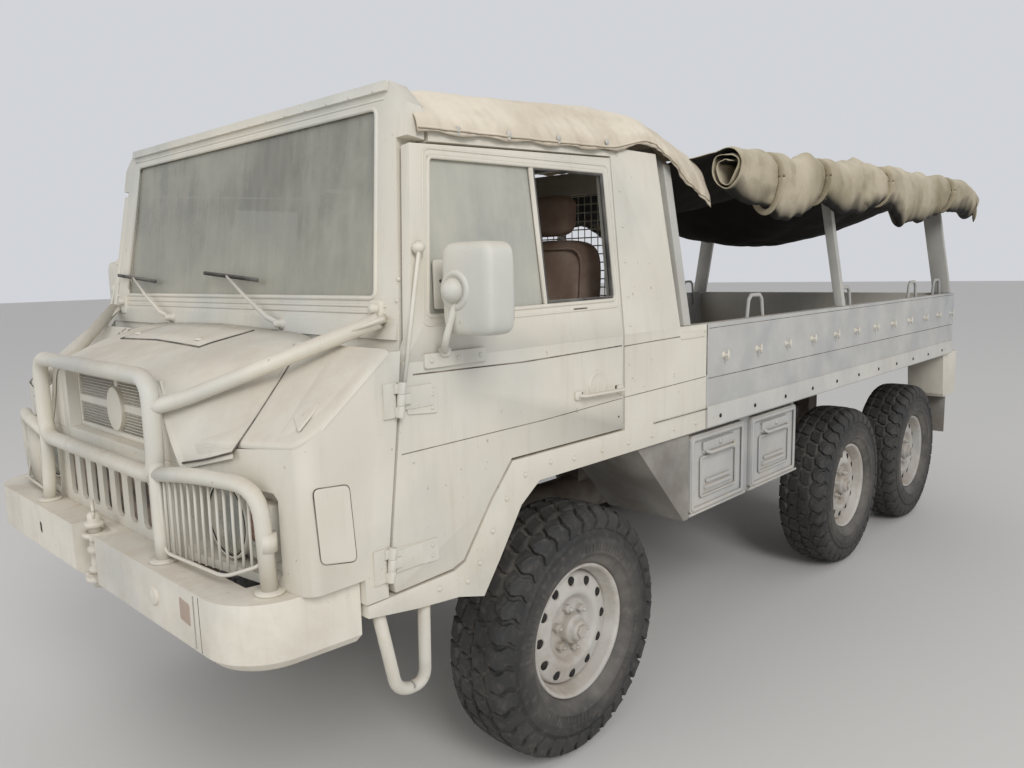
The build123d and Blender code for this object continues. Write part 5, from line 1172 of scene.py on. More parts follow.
finishes["window_glass"] = dusty_glass("dusty windscreen glass", (0.20, 0.197, 0.165, 1),
                                       (0.41, 0.395, 0.325, 1), low=1.46, high=1.75)
finishes["black_rubber"] = old_paint("black rubber", (0.022, 0.021, 0.020, 1), (0.045, 0.041, 0.036, 1),
                                     dust=(0.22, 0.19, 0.15, 1), dust_share=0.5, rough=0.7, chips=0.0)
screen_hole = rounded_outline([on_screen(y, z, -0.001) for y, z in GLASS_CORNERS], 0.022)
fitted("windscreen_seal", "cream_paint", ring_pipe(screen_hole, 0.0068, SCREEN, 8, flat=0.7))
glass_outline = rounded_outline([on_screen(y * 0.997, z, -0.014) for y, z in GLASS_CORNERS], 0.02)
fitted("windscreen_pane", "window_glass", slab(glass_outline, SCREEN, 0.006, 0.001),
       stands_for="windscreen_glass")
rails = [pipe(on_screen(np.linspace(-half, half, 24), z, 0.0), 0.0042, SCREEN, 6, flat=0.5)
         for z, half in RAIL_LINES]
pivots = [set_at(turned(PIVOT, 16), on_screen(y, 1.400, 0.006), SCREEN) for y in WIPER_Y]
arm_in, arm_z, arm_out, arm_size = np.array(ARM).T
arms = [pipe(on_screen(y - arm_in, arm_z, arm_out), arm_size, SCREEN, 8, flat=0.6) for y in WIPER_Y]
fitted("wiper_arms", "cream_paint", *rails, *pivots, *arms)
blades = []
reach = np.linspace(-1, 1, 15)
for y in WIPER_Y:
    middle_y, middle_z = y - arm_in[-1], arm_z[-1]
    line = on_screen(middle_y + BLADE_REACH * reach, middle_z - BLADE_FALL * reach,
                     0.0120 + 0.0030 * reach ** 2)
    blades.append(pipe(line, 0.0042, UP, 6, flat=1.6))
    for end in (-0.62, 0.62):
        strut = [on_screen(middle_y, middle_z, 0.024),
                 on_screen(middle_y + BLADE_REACH * end, middle_z - BLADE_FALL * end, 0.015)]
        blades.append(pipe(np.array(strut), 0.0030, UP, 6))
fitted("wiper_blades", "black_rubber", *blades)
bracket_plate = slab(rounded_outline([on_screen(y, z, 0.0) for y, z in BRACKET], 0.008), SCREEN, 0.010, 0.003)
bracket_bolt = set_at(turned(BRACKET_BOLT, 14), on_screen(0.765, 1.448, 0.010), SCREEN)
rivets = [on_screen(y, z) for z in (1.42, 1.47, 1.52) for y in (-0.835, 0.835)]
header_studs = [on_screen(y, 1.972, 0.008) for y in np.linspace(-0.70, 0.70, 15)]
screen_studs = joined(studs(rivets, SCREEN, 0.006, 0.003), studs(header_studs, SCREEN, 0.005, 0.003))
fitted("windscreen_brackets", "cream_paint", both_sides(joined(bracket_plate, bracket_bolt)), screen_studs)


# Doors
# Steel doors, bent in at the belt line. The window's front half is a fixed sprayed pane, and its rear
# half is open. Hinge leaves, a pull handle, a lock and a mirror on a bent arm are screwed on.
SIDE_LEAN = np.radians(7.4)
LEAN = (0, np.cos(SIDE_LEAN), np.sin(SIDE_LEAN))
BELT_Y, BELT_Z = 0.9, 1.332
PANE = ((0.212, 0.107), (0.630, 0.103), (0.572, 0.477), (0.212, 0.488))
WINDOW_FRAME = ((-0.111, 0.107), (0.634, 0.099), (0.574, 0.481), (-0.125, 0.493))
FRAME_EDGE = ((-0.132, 0.086), (0.652, 0.078), (0.588, 0.500), (-0.146, 0.513))
OPEN_HALF = ((0.196, 0.114), (-0.104, 0.114), (-0.116, 0.486), (0.196, 0.483))
HINGES = (
    # the leaf's corners, upper and lower
    ((0.628, BELT_Y, 1.201), (0.720, BELT_Y, 1.209), (0.720, BELT_Y, 1.264), (0.628, BELT_Y, 1.262)),
    ((0.640, BELT_Y, 0.838), (0.775, BELT_Y, 0.846), (0.775, BELT_Y, 0.902), (0.640, BELT_Y, 0.894)),
)
HINGE_SCREWS = ((0.645, 1.216), (0.645, 1.248), (0.690, 1.232), (0.66, 0.855), (0.66, 0.880), (0.725, 0.868))
HANDLE = ((-0.112, 0.902, 1.166), (-0.112, 0.922, 1.167), (0.085, 0.920, 1.171), (0.092, 0.902, 1.172))
HANDLE_FEET = ((-0.112, 1.166), (0.092, 1.172))
HANDLE_RECESS = ((0.044, -0.001), (0.044, 0.0012), (0.040, 0.0036), (0.034, 0.0016), (0.02, -0.0004),
                 (0, -0.0008))
LOCK = ((0.015, -0.001), (0.015, 0.004), (0.011, 0.007), (0, 0.0075))
BELT_GROOVE = ((0.698, BELT_Y, 1.300), (0.317, BELT_Y, 1.292), (0.017, BELT_Y, 1.296), (-0.128, BELT_Y, 1.298))
DOOR_CREASE = ((0.74, BELT_Y, 1.118), (0.24, BELT_Y, 1.123), (-0.092, BELT_Y, 1.134), (-0.128, BELT_Y, 1.135))
MIRROR_ARM = ((0.600, 0.905, 1.345), (0.640, 0.950, 1.370), (0.628, 0.972, 1.450), (0.612, 0.972, 1.486))
MIRROR_BALL = ((0, -0.030), (0.014, -0.027), (0.025, -0.016), (0.030, 0), (0.025, 0.016), (0.014, 0.027),
               (0, 0.030))
MIRROR_CUP = ((0.046, -0.004), (0.048, 0.004), (0.044, 0.009), (0.036, 0.010), (0.030, 0.004), (0, 0.002))
CHECK_ROD = ((0.733, 0.910, 1.277), (0.669, 0.888, 1.513), (0.648, 0.884, 1.600))
CHECK_BALL = ((0, -0.017), (0.010, -0.014), (0.017, 0), (0.010, 0.014), (0, 0.017))


def on_lean(x, z, out=0.0):
    """Places on the leaning upper side of the cab, from the front axle, raised along its normal."""
    x, z = np.broadcast_arrays(np.asarray(x, float), np.asarray(z, float))
    flat = np.stack([FRONT_AXLE_X + x, BELT_Y - (z - BELT_Z) * np.tan(SIDE_LEAN), z], -1)
    return flat + np.asarray(out, float)[..., None] * np.array(LEAN)


def up_lean(corners, out, bend):
    """A closed outline on the leaning side through corners of (x, way up the side from its foot)."""
    x, way = np.array(corners).T
    return rounded_outline(on_lean(x, BELT_Z + way * np.cos(SIDE_LEAN), out), bend)


def discs(places, facing, size, out=0.0005, sides=14):
    """Thin round discs, used where a hole or a mark shows on a face."""
    disc = turned(((size, -SUNK), (size, out), (0, out)), sides)
    return joined(*[set_at(disc, place, facing) for place in places])


def signed_power(value, power):
    """value's size raised to that power, with its sign kept."""
    return np.sign(value) * np.abs(value) ** power


def block_form(middle, half, bluntness, dish=(0, 0, 0), lean=0.0, rows=26, sides=44):
    """A closed rounded block: a ball whose sines and cosines are raised to bluntness, so a low power is
    nearly square. dish pulls its front in at the middle, and lean leans it back by that much a metre."""
    up = np.linspace(-np.pi / 2, np.pi / 2, rows)[:, None]
    spin = np.linspace(0, 2 * np.pi, sides, endpoint=False)[None]
    ring = signed_power(np.cos(up), bluntness)
    x, y = ring * signed_power(np.cos(spin), bluntness), ring * signed_power(np.sin(spin), bluntness)
    z = signed_power(np.sin(up), bluntness) + 0 * spin
    hollow = np.clip(1 - y ** 2, 0, 1) * np.clip(1 - z ** 2, 0, 1) * (x > 0) * dish[0]
    sunk = np.clip(1 - y ** 2, 0, 1) * np.clip(1 - x ** 2, 0, 1) * (z > 0) * dish[2]
    place = np.stack([x * half[0] - hollow, y * half[1], z * half[2] - sunk], -1)
    place[..., 0] -= lean * place[..., 2]
    return grid(place + np.asarray(middle), wrap_v=True)


finishes["side_glass"] = dusty_glass("sprayed side glass", (0.30, 0.31, 0.28, 1), (0.52, 0.50, 0.42, 1),
                                     low=1.44, high=1.86)
finishes["mirror_face"], face_tree, face_shader, face_dust = plain_finish(
    "mirror face", (0.35, 0.36, 0.36, 1), (0.44, 0.40, 0.34, 1), (0.4, 0.7), 0.6, scale=9.0)
face_rough = between(face_tree, face_dust, 0.0, 1.0, to_low=0.12, to_high=0.6)
face_tree.links.new(face_rough, face_shader.inputs["Roughness"])
face_shader.inputs["Metallic"].default_value = 0.7

side_pane = slab(up_lean(PANE, -0.013, 0.012), LEAN, 0.005, 0.001)
divider_z = BELT_Z + np.array([0.100, 0.492]) * np.cos(SIDE_LEAN)
corner_plate = on_lean(np.array([0.540, 0.612, 0.600, 0.552]), np.array([1.446, 1.446, 1.563, 1.563]))
door_fittings = joined(
    *[block_form(spot(x, 0.903, z), (0.015, 0.006, 0.013), 0.5, rows=10, sides=16) for x, z in HANDLE_FEET],
    ring_pipe(up_lean(WINDOW_FRAME, -0.0005, 0.014), 0.0060, LEAN, 8, flat=0.7),
    swept(up_lean(FRAME_EDGE, 0.0, 0.02), flat_strip(0.005, 0.0022), LEAN, closed=True),
    pipe(on_lean(np.array([0.206, 0.206]), divider_z, -0.004), 0.0085, LEAN, 8, flat=0.5),
    set_at(turned(HANDLE_RECESS, 28), spot(-0.005, BELT_Y, 1.192), SIDE),
    set_at(turned(LOCK, 16), spot(-0.122, BELT_Y, 1.160), SIDE),
    *[slab(rounded_outline(spots(*leaf), 0.006), SIDE, 0.004, 0.0012) for leaf in HINGES],
    slab(oblong((0.463, BELT_Y, 1.310), (0.665, BELT_Y, 1.345), 0.006), SIDE, 0.008, 0.002),
    slab(rounded_outline(corner_plate, 0.008), LEAN, 0.004, 0.001),
    studs([spot(x, 0.904, z) for x, z in HINGE_SCREWS], SIDE, 0.0055, 0.003),
    studs([spot(x, 0.908, 1.328) for x in (0.485, 0.56, 0.645)], SIDE, 0.006, 0.004),
    pipe(rounded(spots(*HANDLE), 0.016), 0.010, UP, 10, flat=0.55))
window_rubber = ring_pipe(up_lean(OPEN_HALF, -0.006, 0.010), 0.0062, LEAN, 8)
# The dark strips in the belt groove and the crease below it are painted shade; the small discs and the short
# strip take the same dark finish.
creases = joined(
    swept(spots(*BELT_GROOVE), flat_strip(0.0035, 0.0006), SIDE),
    swept(spots(*DOOR_CREASE), flat_strip(0.0022, 0.0005), SIDE),
    set_at(turned(((0.0035, 0), (0.0035, 0.001), (0, 0.001)), 10), spot(-0.110, 0.900, 1.080), SIDE),
    swept(on_lean(np.array([0.028, 0.090]), np.array([1.418, 1.418])), flat_strip(0.009, 0.0008), LEAN),
    *[discs([on_lean(0.585, z, 0.0042)], LEAN, 0.0045) for z in (1.480, 1.512)])
mirror_on_arm = joined(
    block_form(spot(0.583, 1.007, 1.495), (0.044, 0.083, 0.106), 0.30),
    set_at(turned(MIRROR_BALL, 20), spot(0.628, 0.972, 1.492), FRONT),
    set_at(turned(MIRROR_CUP, 28), spot(0.622, 0.975, 1.492), FRONT),
    pipe(rounded(spots(*MIRROR_ARM), 0.03), 0.0085, FRONT, 12),
    block_form(spot(0.602, 0.906, 1.345), (0.016, 0.010, 0.012), 0.5))
check_rod = joined(pipe(rounded(spots(*CHECK_ROD), 0.05), 0.0052, FRONT, 8),
                   set_at(turned(CHECK_BALL, 16), spot(0.650, 0.880, 1.592), SIDE))
mirror_face = block_form(spot(0.5385, 1.007, 1.495), (0.0030, 0.070, 0.093), 0.25)
DOOR_PIECES = (
    # name, form on the left side, finish, the body that carries it, the CAD node that it stands for
    ("door_pane", side_pane, "side_glass", "door", "door_glass"),
    ("door_fittings", door_fittings, "cream_paint", "door", None),
    ("door_window_rubber", window_rubber, "black_rubber", "door", None),
    ("door_creases", creases, "seam", "door", None),
    ("mirror_joint", mirror_on_arm, "cream_paint", "door", "mirror"),
    ("mirror_glass", mirror_face, "mirror_face", "door", None),
    ("door_check_rod", check_rod, "cream_paint", "chassis", None),
)
for side, hand in SIDES:
    for name, form, finish, carrier, node in DOOR_PIECES:
        piece = made(f"{name}_{side}", form if hand == 1 else mirrored(form))
        body = f"door_{side}" if carrier == "door" else carrier
        dress(piece, finish, body, *([f"{node}_{side}"] if node else []))


# Cab sides
# Bolts hold the sill flange under the cab side, and rivets the quarter panel behind the door. A bent
# tube hangs below each door as a step, and woven wire parts the seats from the bed.
FLANGE = ((0.640, 0.762), (0.545, 0.752), (0.500, 0.788), (0.450, 0.860), (0.395, 0.935), (0.320, 0.985),
          (0.215, 1.000))
RAIL_BOLT_Z, RAIL_BOLT_PITCH, BED_FRONT_X = 0.990, 0.135, -0.64
QUARTER = ((-0.20, 1.879), (-0.195, 1.77), (-0.193, 1.661), (-0.187, 1.553), (-0.183, 1.447), (-0.177, 1.358))
CAB_LINES = (
    # out from the middle, width and height of the strip, then (x, z) along it
    (BELT_Y, 0.0030, 0.0006, ((-0.142, 1.295), (-0.300, 1.298), (-0.460, 1.300))),
    (BELT_Y, 0.0022, 0.0005, ((-0.142, 1.136), (-0.40, 1.141), (-0.630, 1.146))),
    (0.904, 0.0025, 0.0004, ((-0.30, 1.030), (-0.640, 1.030))),
)
STEP = ((0.812, 0.876, 0.756), (0.742, 0.846, 0.512), (0.652, 0.846, 0.503), (0.672, 0.876, 0.735))
PARTITION_X, PARTITION_HALF, PARTITION_Z = -0.484, 0.640, (1.400, 1.800)
PARTITION_WIRE, PARTITION_PITCH = 0.0022, 0.030


def side_line_shade(lines):
    """Thin dark strips along the truck's left side, painted shade in its pressed lines, one for each row of (y,
    width, height, places).
    """
    return joined(*[swept(spots(*[(x, y, z) for x, z in places]), flat_strip(width, high), SIDE)
                    for y, width, high, places in lines])


flange_bolts = studs([spot(x, BELT_Y, z) for x, z in FLANGE], SIDE, 0.0075, 0.005)
rail_bolt_x = [x for x in np.arange(0.110, -3.62, -RAIL_BOLT_PITCH) if x >= BED_FRONT_X]
rail_bolts = studs([spot(x, BELT_Y, RAIL_BOLT_Z) for x in rail_bolt_x], SIDE, 0.0075, 0.005)
fitted("sill_and_rail_bolts", "cream_paint", both_sides(joined(flange_bolts, rail_bolts)))
quarter_rivets = studs([on_lean(x, z) for x, z in QUARTER], LEAN, 0.006, 0.003)
quarter_plate = slab(oblong((-0.467, BELT_Y, 1.290), (-0.625, BELT_Y, 1.312), 0.004), SIDE, 0.003, 0.001)
fitted("quarter_rivets", "cream_paint", both_sides(joined(quarter_rivets, quarter_plate)))
# The dark strips in the cab side's lines are painted shade.
fitted("cab_side_creases", "seam", both_sides(side_line_shade(CAB_LINES)))
step_tube = pipe(rounded(spots(*STEP), 0.045, 9), 0.0158, SIDE, 16)
fitted("cab_steps", "cream_paint", both_sides(step_tube))
partition_wires = wire_net(PARTITION_X, PARTITION_X - 0.002, PARTITION_HALF, PARTITION_Z, PARTITION_WIRE,
                           np.arange(-0.63, 0.635, PARTITION_PITCH), np.arange(1.405, 1.80, PARTITION_PITCH))
fitted("cab_partition_wires", "cream_paint", partition_wires)


# Bed sides
# Cast tie-down hooks stand in a row under the folded sheet's top edge, one to every quarter of a
# metre. The bolted rail below is painted paler.
HOOK_X = (-0.758, -1.018, -1.276, -1.527, -1.783, -2.027, -2.283, -2.537, -2.799, -3.071, -3.317, -3.574)
HOOK_Z = 1.212
HOOK_STEM = ((0.014, -0.001), (0.014, 0.003), (0.008, 0.005), (0.0055, 0.010), (0.0055, 0.020), (0, 0.021))
HOOK_BAR = ((0, 0.018, -0.020), (0, 0.0195, 0), (0, 0.018, 0.020))
BED_REAR_X = -3.640
RAIL_Y, RAIL_Z, RAIL_OUT = 0.9038, (0.961, 1.036), 0.0022
hook_form = joined(set_at(turned(HOOK_STEM, 10), (0, 0, 0), SIDE),
                   pipe(np.array(HOOK_BAR), (0.0040, 0.0052, 0.0040), FRONT, 8))
hooks = [(hook_form[0] + spot(x, BELT_Y, HOOK_Z), hook_form[1], hook_form[2]) for x in HOOK_X]
fitted("bed_side_hooks", "cream_paint", both_sides(joined(*hooks)))
rail_corners = spots((BED_FRONT_X, RAIL_Y, RAIL_Z[0]), (BED_REAR_X, RAIL_Y, RAIL_Z[0]),
                     (BED_REAR_X, RAIL_Y, RAIL_Z[1]), (BED_FRONT_X, RAIL_Y, RAIL_Z[1]))
rail_edge = np.concatenate([np.linspace(rail_corners[k], rail_corners[(k + 1) % 4], 12)[:-1] for k in range(4)])
rail_rows = [rail_edge, rail_edge + (0, RAIL_OUT, 0)]
rail_mid = rail_rows[1].copy()
rail_mid[:, 2] = sum(RAIL_Z) / 2
fitted("bed_rail_faces", "rail_paint",
       both_sides(grid(np.stack(rail_rows + [rail_mid]), wrap_v=True, smooth=False)))
rail_holes = [spot(x, 0.9058, 0.992) for x in np.arange(-0.73, -3.6, -0.27)]
# Near-black heads at the rail's holes: painted shade.
fitted("bed_rail_bolts", "hole", both_sides(studs(rail_holes, SIDE, 0.0085, 0.004, 6)))


# Locker lids
# Each lid is a pressing with a raised ridge round its edge and another inside it. A latch bar in a
# plate runs along its top, and a short rib lies below.
LIDS = {
    # lid: rear and front end
    "front": (-0.970, -0.572), "rear": (-1.436, -1.030),
}
LID_Y = 0.8785
OUTER_RIDGE = ((-0.009, -0.001), (-0.007, 0.0035), (0, 0.0048), (0.007, 0.0035), (0.009, -0.001))
INNER_RIDGE = ((-0.005, -0.001), (-0.003, 0.0022), (0, 0.003), (0.003, 0.0022), (0.005, -0.001))
LATCH_BAR = ((-0.105, 0.880, 0.872), (-0.095, 0.897, 0.862), (0.095, 0.897, 0.862), (0.105, 0.880, 0.872))
LATCH_BOLT = ((0.011, 0), (0.011, 0.004), (0.004, 0.006), (0, 0.006))


def lid_pressings(rear_x, front_x):
    """What stands out of a lid between those ends, on the left side."""
    middle_x = (rear_x + front_x) / 2
    outer = oblong((rear_x + 0.014, LID_Y, 0.660), (front_x - 0.014, LID_Y, 0.920), 0.014)
    inner = oblong((rear_x + 0.070, LID_Y, 0.700), (front_x - 0.070, LID_Y, 0.845), 0.012)
    latch = oblong((middle_x - 0.115, LID_Y, 0.868), (middle_x + 0.115, LID_Y, 0.902), 0.010)
    rib = oblong((middle_x - 0.09, LID_Y, 0.748), (middle_x + 0.09, LID_Y, 0.758), 0.003)
    bar = rounded(spots(*[(middle_x + x, y, z) for x, y, z in LATCH_BAR]), 0.01)
    return joined(
        swept(outer, OUTER_RIDGE, SIDE, closed=True), swept(inner, INNER_RIDGE, SIDE, closed=True),
        slab(latch, SIDE, 0.007, 0.003), pipe(bar, 0.0065, UP, 8), slab(rib, SIDE, 0.0045, 0.002),
        set_at(turned(LATCH_BOLT, 12), (FRONT_AXLE_X + middle_x, 0.885, 0.888), SIDE))


for end, ends in LIDS.items():
    for side, hand in SIDES:
        form = lid_pressings(*ends)
        piece = made(f"locker_lid_pressings_{end}_{side}", form if hand == 1 else mirrored(form))
        dress(piece, "bed_paint", f"lid_{end}_{side}")


# Bed creases
# Pressed creases run along the bed's sides and upright at their front end. Their shade is painted: they
# are thin strips in the colour of a gap, laid over the sheet.
BED_LINES = (
    # out from the middle, width and height of the strip, then (x, z) along it
    (BELT_Y, 0.0030, 0.0006, ((-0.652, 1.137), (-2.1, 1.137), (-3.630, 1.137))),
    (BELT_Y, 0.0022, 0.0005, ((-0.652, 1.315), (-2.1, 1.318), (-3.630, 1.320))),
    (BELT_Y, 0.0040, 0.0006, ((BED_FRONT_X, 1.150), (BED_FRONT_X, 1.330))),
)
fitted("bed_side_creases", "seam", both_sides(side_line_shade(BED_LINES)))


# Cab canvas
# Proofed canvas, tan and faded, stiff with dust. It is stretched over the roof rails and the first
# hoop, and its hem, with a piped edge, is buttoned to studs along the door tops.
CAB_ROWS = (
    # x, height of the crown, height and half width of the shoulder, height of the hem
    (0.606, 1.996, 1.984, 0.746, 1.862), (0.20, 2.030, 2.012, 0.749, 1.872),
    (-0.170, 2.052, 2.036, 0.752, 1.884), (-0.366, 2.060, 2.044, 0.752, 1.930),
    (-0.480, 2.034, 2.014, 0.756, 1.890), (-0.609, 1.990, 1.972, 0.764, 1.790),
    (-0.727, 1.962, 1.946, 0.772, 1.770),
)
CANVAS_FRONT_X, CANVAS_REAR_X, CANVAS_ROWS, CANVAS_HALF_COLUMNS = 0.606, -0.727, 170, 84
CANVAS_SHARES = (0, 0.34, 0.67, 0.76, 0.95, 1)
CANVAS_STUDS = ((0.476, 1.878), (0.294, 1.886), (0.089, 1.896), (-0.139, 1.908))
PUCKER, FINE_PUCKER = 0.105, 0.041
CREASE_HEIGHT, CANVAS_SAG, HEM_OUT, HEM_FROM = 0.0072, 0.010, 0.011, 0.74
FLAP_X, FLAP_LENGTH, FLAP_DROP = -0.60, 0.127, 0.020


def rumple(across, along, size, seed, folds=9):
    """A crumpled height: folds sine waves in drawn directions, each folded to a crease-like wave."""
    draw = np.random.default_rng(seed)
    height = np.zeros(np.broadcast(across, along).shape)
    for _ in range(folds):
        turn, pitch, start = draw.uniform(0, np.pi), size * draw.uniform(0.6, 1.9), draw.uniform(0, 2 * np.pi)
        sideways = across * np.sin(turn * 2) + along * np.cos(turn * 2)
        warp = 0.5 * np.sin(sideways * 2 * np.pi / (pitch * 2.3) + start)
        wave = (across * np.cos(turn) + along * np.sin(turn)) * 2 * np.pi / pitch + start + warp
        height += (1 - np.abs(np.sin(wave / 2))) ** 1.6 - 0.32
    return height / np.sqrt(folds)


def rows_between(rows, places):
    """A table's columns read between its rows at those places along its first column."""
    rows = np.asarray(rows, float)
    order = np.argsort(rows[:, 0])
    return [np.interp(places, rows[order, 0], rows[order, column]) for column in range(1, rows.shape[1])]


def canvas_finish(name, pale, deep, dust, grime, below):
    """Faded canvas: stained, blotched and dusty on top, with painted shade on its underside, darker by the
    share given for that shade.
    """
    material, tree, cloth = shader(name)
    place = object_place(tree)
    stains = between(tree, value_noise(tree, place, scale=3.2, detail=5.0), 0.40, 0.66)
    colour = mixed(tree, stains, pale, deep)
    blotchy = value_noise(tree, place, scale=11.0, detail=5.0, rough=0.66)
    colour = mixed(tree, between(tree, blotchy, 0.50, 0.72, to_high=grime), colour,
                   (deep[0] * 0.6, deep[1] * 0.55, deep[2] * 0.45, 1))
    settled = between(tree, value_noise(tree, place, scale=6.0), 0.30, 0.62)
    lying = arithmetic(tree, "MULTIPLY", facing_up(tree, 0.1, 0.95), settled)
    colour = mixed(tree, arithmetic(tree, "MULTIPLY", lying, 0.75), colour, dust)
    # Faces turned down take painted shade: the deep colour scaled down.
    colour = mixed(tree, facing_up(tree, -0.75, -0.25), tuple(tone * below for tone in deep[:3]) + (1,), colour)
    tree.links.new(colour, cloth.inputs["Base Color"])
    cloth.inputs["Roughness"].default_value = 0.88
    threads = value_noise(tree, place, scale=420.0, detail=2.0)
    creases = value_noise(tree, place, scale=34.0, detail=5.0)
    fine = arithmetic(tree, "ADD", threads, arithmetic(tree, "MULTIPLY", creases, 1.6))
    relief(tree, fine, 0.35, 0.0022, cloth)
    return material


def sheet_piece(name, form, thick, finish, node, **declared):
    """A cloth piece given a thickness, its finish and body; the declared sheet keywords are not used."""
    piece = made(name, form)
    wall = piece.modifiers.new("cloth thickness", "SOLIDIFY")
    wall.thickness = thick
    wall.offset = 0
    dress(piece, finish, "chassis", *([node] if node else []))
    return piece


# Its underside takes painted shade at 0.6 of the deep colour.
finishes["cab_cloth"] = canvas_finish("cab canvas", (0.68, 0.60, 0.48, 1), (0.50, 0.425, 0.32, 1),
                                      dust=(0.74, 0.66, 0.54, 1), grime=0.35, below=0.6)
canvas_x = np.linspace(CANVAS_FRONT_X, CANVAS_REAR_X, CANVAS_ROWS)
cab_rows = rows_between(CAB_ROWS, canvas_x)
crown, shoulder, shoulder_y, hem = (softened(row[:, None], 24)[:, 0] for row in cab_rows)
hem_y = BELT_Y - (hem - BELT_Z) * np.tan(SIDE_LEAN) + HEM_OUT
share = np.linspace(0, 1, CANVAS_HALF_COLUMNS)
bend_y = [np.zeros_like(crown), shoulder_y * 0.5, shoulder_y * 0.93, shoulder_y + 0.004, hem_y - 0.004,
          hem_y + 0.001]
bend_z = [crown, crown - (crown - shoulder) * 0.22, shoulder + 0.002, shoulder - 0.016, hem + 0.035, hem]
half_y, half_z = (np.stack([np.interp(share, CANVAS_SHARES, column) for column in np.stack(bend, -1)])
                  for bend in (bend_y, bend_z))
half_y, half_z = (softened(values.T, 5).T for values in (half_y, half_z))
full_y = np.concatenate([-half_y[:, :0:-1], half_y], 1)
full_z = np.concatenate([half_z[:, :0:-1], half_z], 1)
full_share = np.concatenate([-share[:0:-1], share])
full_x = np.broadcast_to(canvas_x[:, None], full_y.shape)

# How slack the cloth is from front to rear, its creases, its sag between rail and hoop, and the
# puckers that the studs pull along its hem
slack_x = (CANVAS_REAR_X, -0.45, -0.30, 0.55, CANVAS_FRONT_X)
slack = np.interp(canvas_x, slack_x, (1.7, 1.5, 0.8, 0.75, 0.2))[:, None]
crease = rumple(full_share * 1.25, full_x, 0.20, 11, 10)
sagging = np.sin(np.clip((full_x - CANVAS_FRONT_X) / -0.972, 0, 1) * np.pi) * np.cos(full_share * 1.9) ** 2
near_hem = np.clip((np.abs(full_share) - HEM_FROM) / (1 - HEM_FROM), 0, 1)
wide_pucker = 0.0035 * np.sin(full_x * 2 * np.pi / PUCKER + 0.8 * np.sin(full_x * 9))
puckers = near_hem * (wide_pucker + 0.002 * np.sin(full_x * 2 * np.pi / FINE_PUCKER))
over = CREASE_HEIGHT * slack * crease * (1 - 0.55 * near_hem) + puckers * np.minimum(slack, 1.2)
top_share = np.clip(1 - (np.abs(full_share) - 0.62) / 0.16, 0, 1)
canvas_points = np.stack([FRONT_AXLE_X + full_x, full_y + np.sign(full_share) * over * (1 - top_share),
                          full_z + over * top_share + CANVAS_SAG * sagging], -1)
canvas_points[:, 0, 2] += 0.004 * np.sin(canvas_x * 40)
canvas_points[:, -1, 2] += 0.004 * np.sin(canvas_x * 37)
rear_flap = np.clip((FLAP_X - full_x) / FLAP_LENGTH, 0, 1)
canvas_points[..., 2] -= rear_flap ** 2 * FLAP_DROP * (1 + np.sin(full_share * 13))
sheet_piece("cab_canvas_cover", grid(canvas_points), 0.0028, "cab_cloth", "cab_canvas", flat=(1.84, 1.37),
            held="stretched", rests_on=["windscreen_frame", "cab_sides", "bed_hoops"])
buttons = [studs([on_lean(x, z, 0.014)], LEAN, 0.0085, 0.004, 12) for x, z in CANVAS_STUDS]
buttons += [studs([on_lean(x, z - 0.012, 0.013)], LEAN, 0.0050, 0.003) for x, z in CANVAS_STUDS]
fitted("cab_canvas_studs", "galvanised", both_sides(joined(*buttons)))
hem_route = canvas_points[:, -2] + (0, 0.0015, 0.003)
fitted("cab_canvas_piping", "cab_cloth", both_sides(pipe(hem_route[::2], 0.0042, UP, 6)))


# Bed cover
# One sheet of the same canvas, older and browner. Its sides are rolled up in two and a bit turns and
# tied to the hoops' ends, and its roof hangs slack between the three hoops.
ROLL_ROWS = (
    # x, height of the roll's underside and of its top
    (-0.700, 1.792, 1.938), (-0.80, 1.745, 1.952), (-1.150, 1.690, 1.968), (-1.470, 1.776, 1.976),
    (-1.590, 1.770, 1.984), (-1.900, 1.730, 1.992), (-2.140, 1.796, 1.990), (-2.280, 1.780, 1.996),
    (-2.480, 1.712, 2.004), (-2.90, 1.735, 2.012), (-3.160, 1.806, 2.010), (-3.400, 1.812, 2.010),
    (-3.730, 1.800, 1.968),
)
ROLL_FRONT_X, ROLL_REAR_X, ROLL_STATIONS = -0.700, -3.730, 196
ROLL_START, ROLL_TURNS, ROLL_COLUMNS, ROLL_TIGHTENS = np.radians(100), 2.15, 84, 0.46
ROLL_Y, ROLL_HALF_WIDTH = 0.925, 0.070
TIES = (-0.99, -1.47, -2.14, -3.16)
TIE_WIDTH, TIE_SQUEEZE, TIE_SIDES = 0.055, 0.835, 40
LUMP, PINCH, GATHER, FINE_LUMP = 0.20, 0.22, 0.05, 0.105
HOOPS = (-3.585, -1.90, -0.52)
ROOF_Z, ROOF_COLUMNS, ROOF_CREASE = 1.948, 62, 0.016
REAR_SAG, FRONT_SAG = 0.30, 0.20
TAIL_X, TAIL_LENGTH, TAIL_DROP, FRAY = -3.60, 0.13, 0.02, 0.030
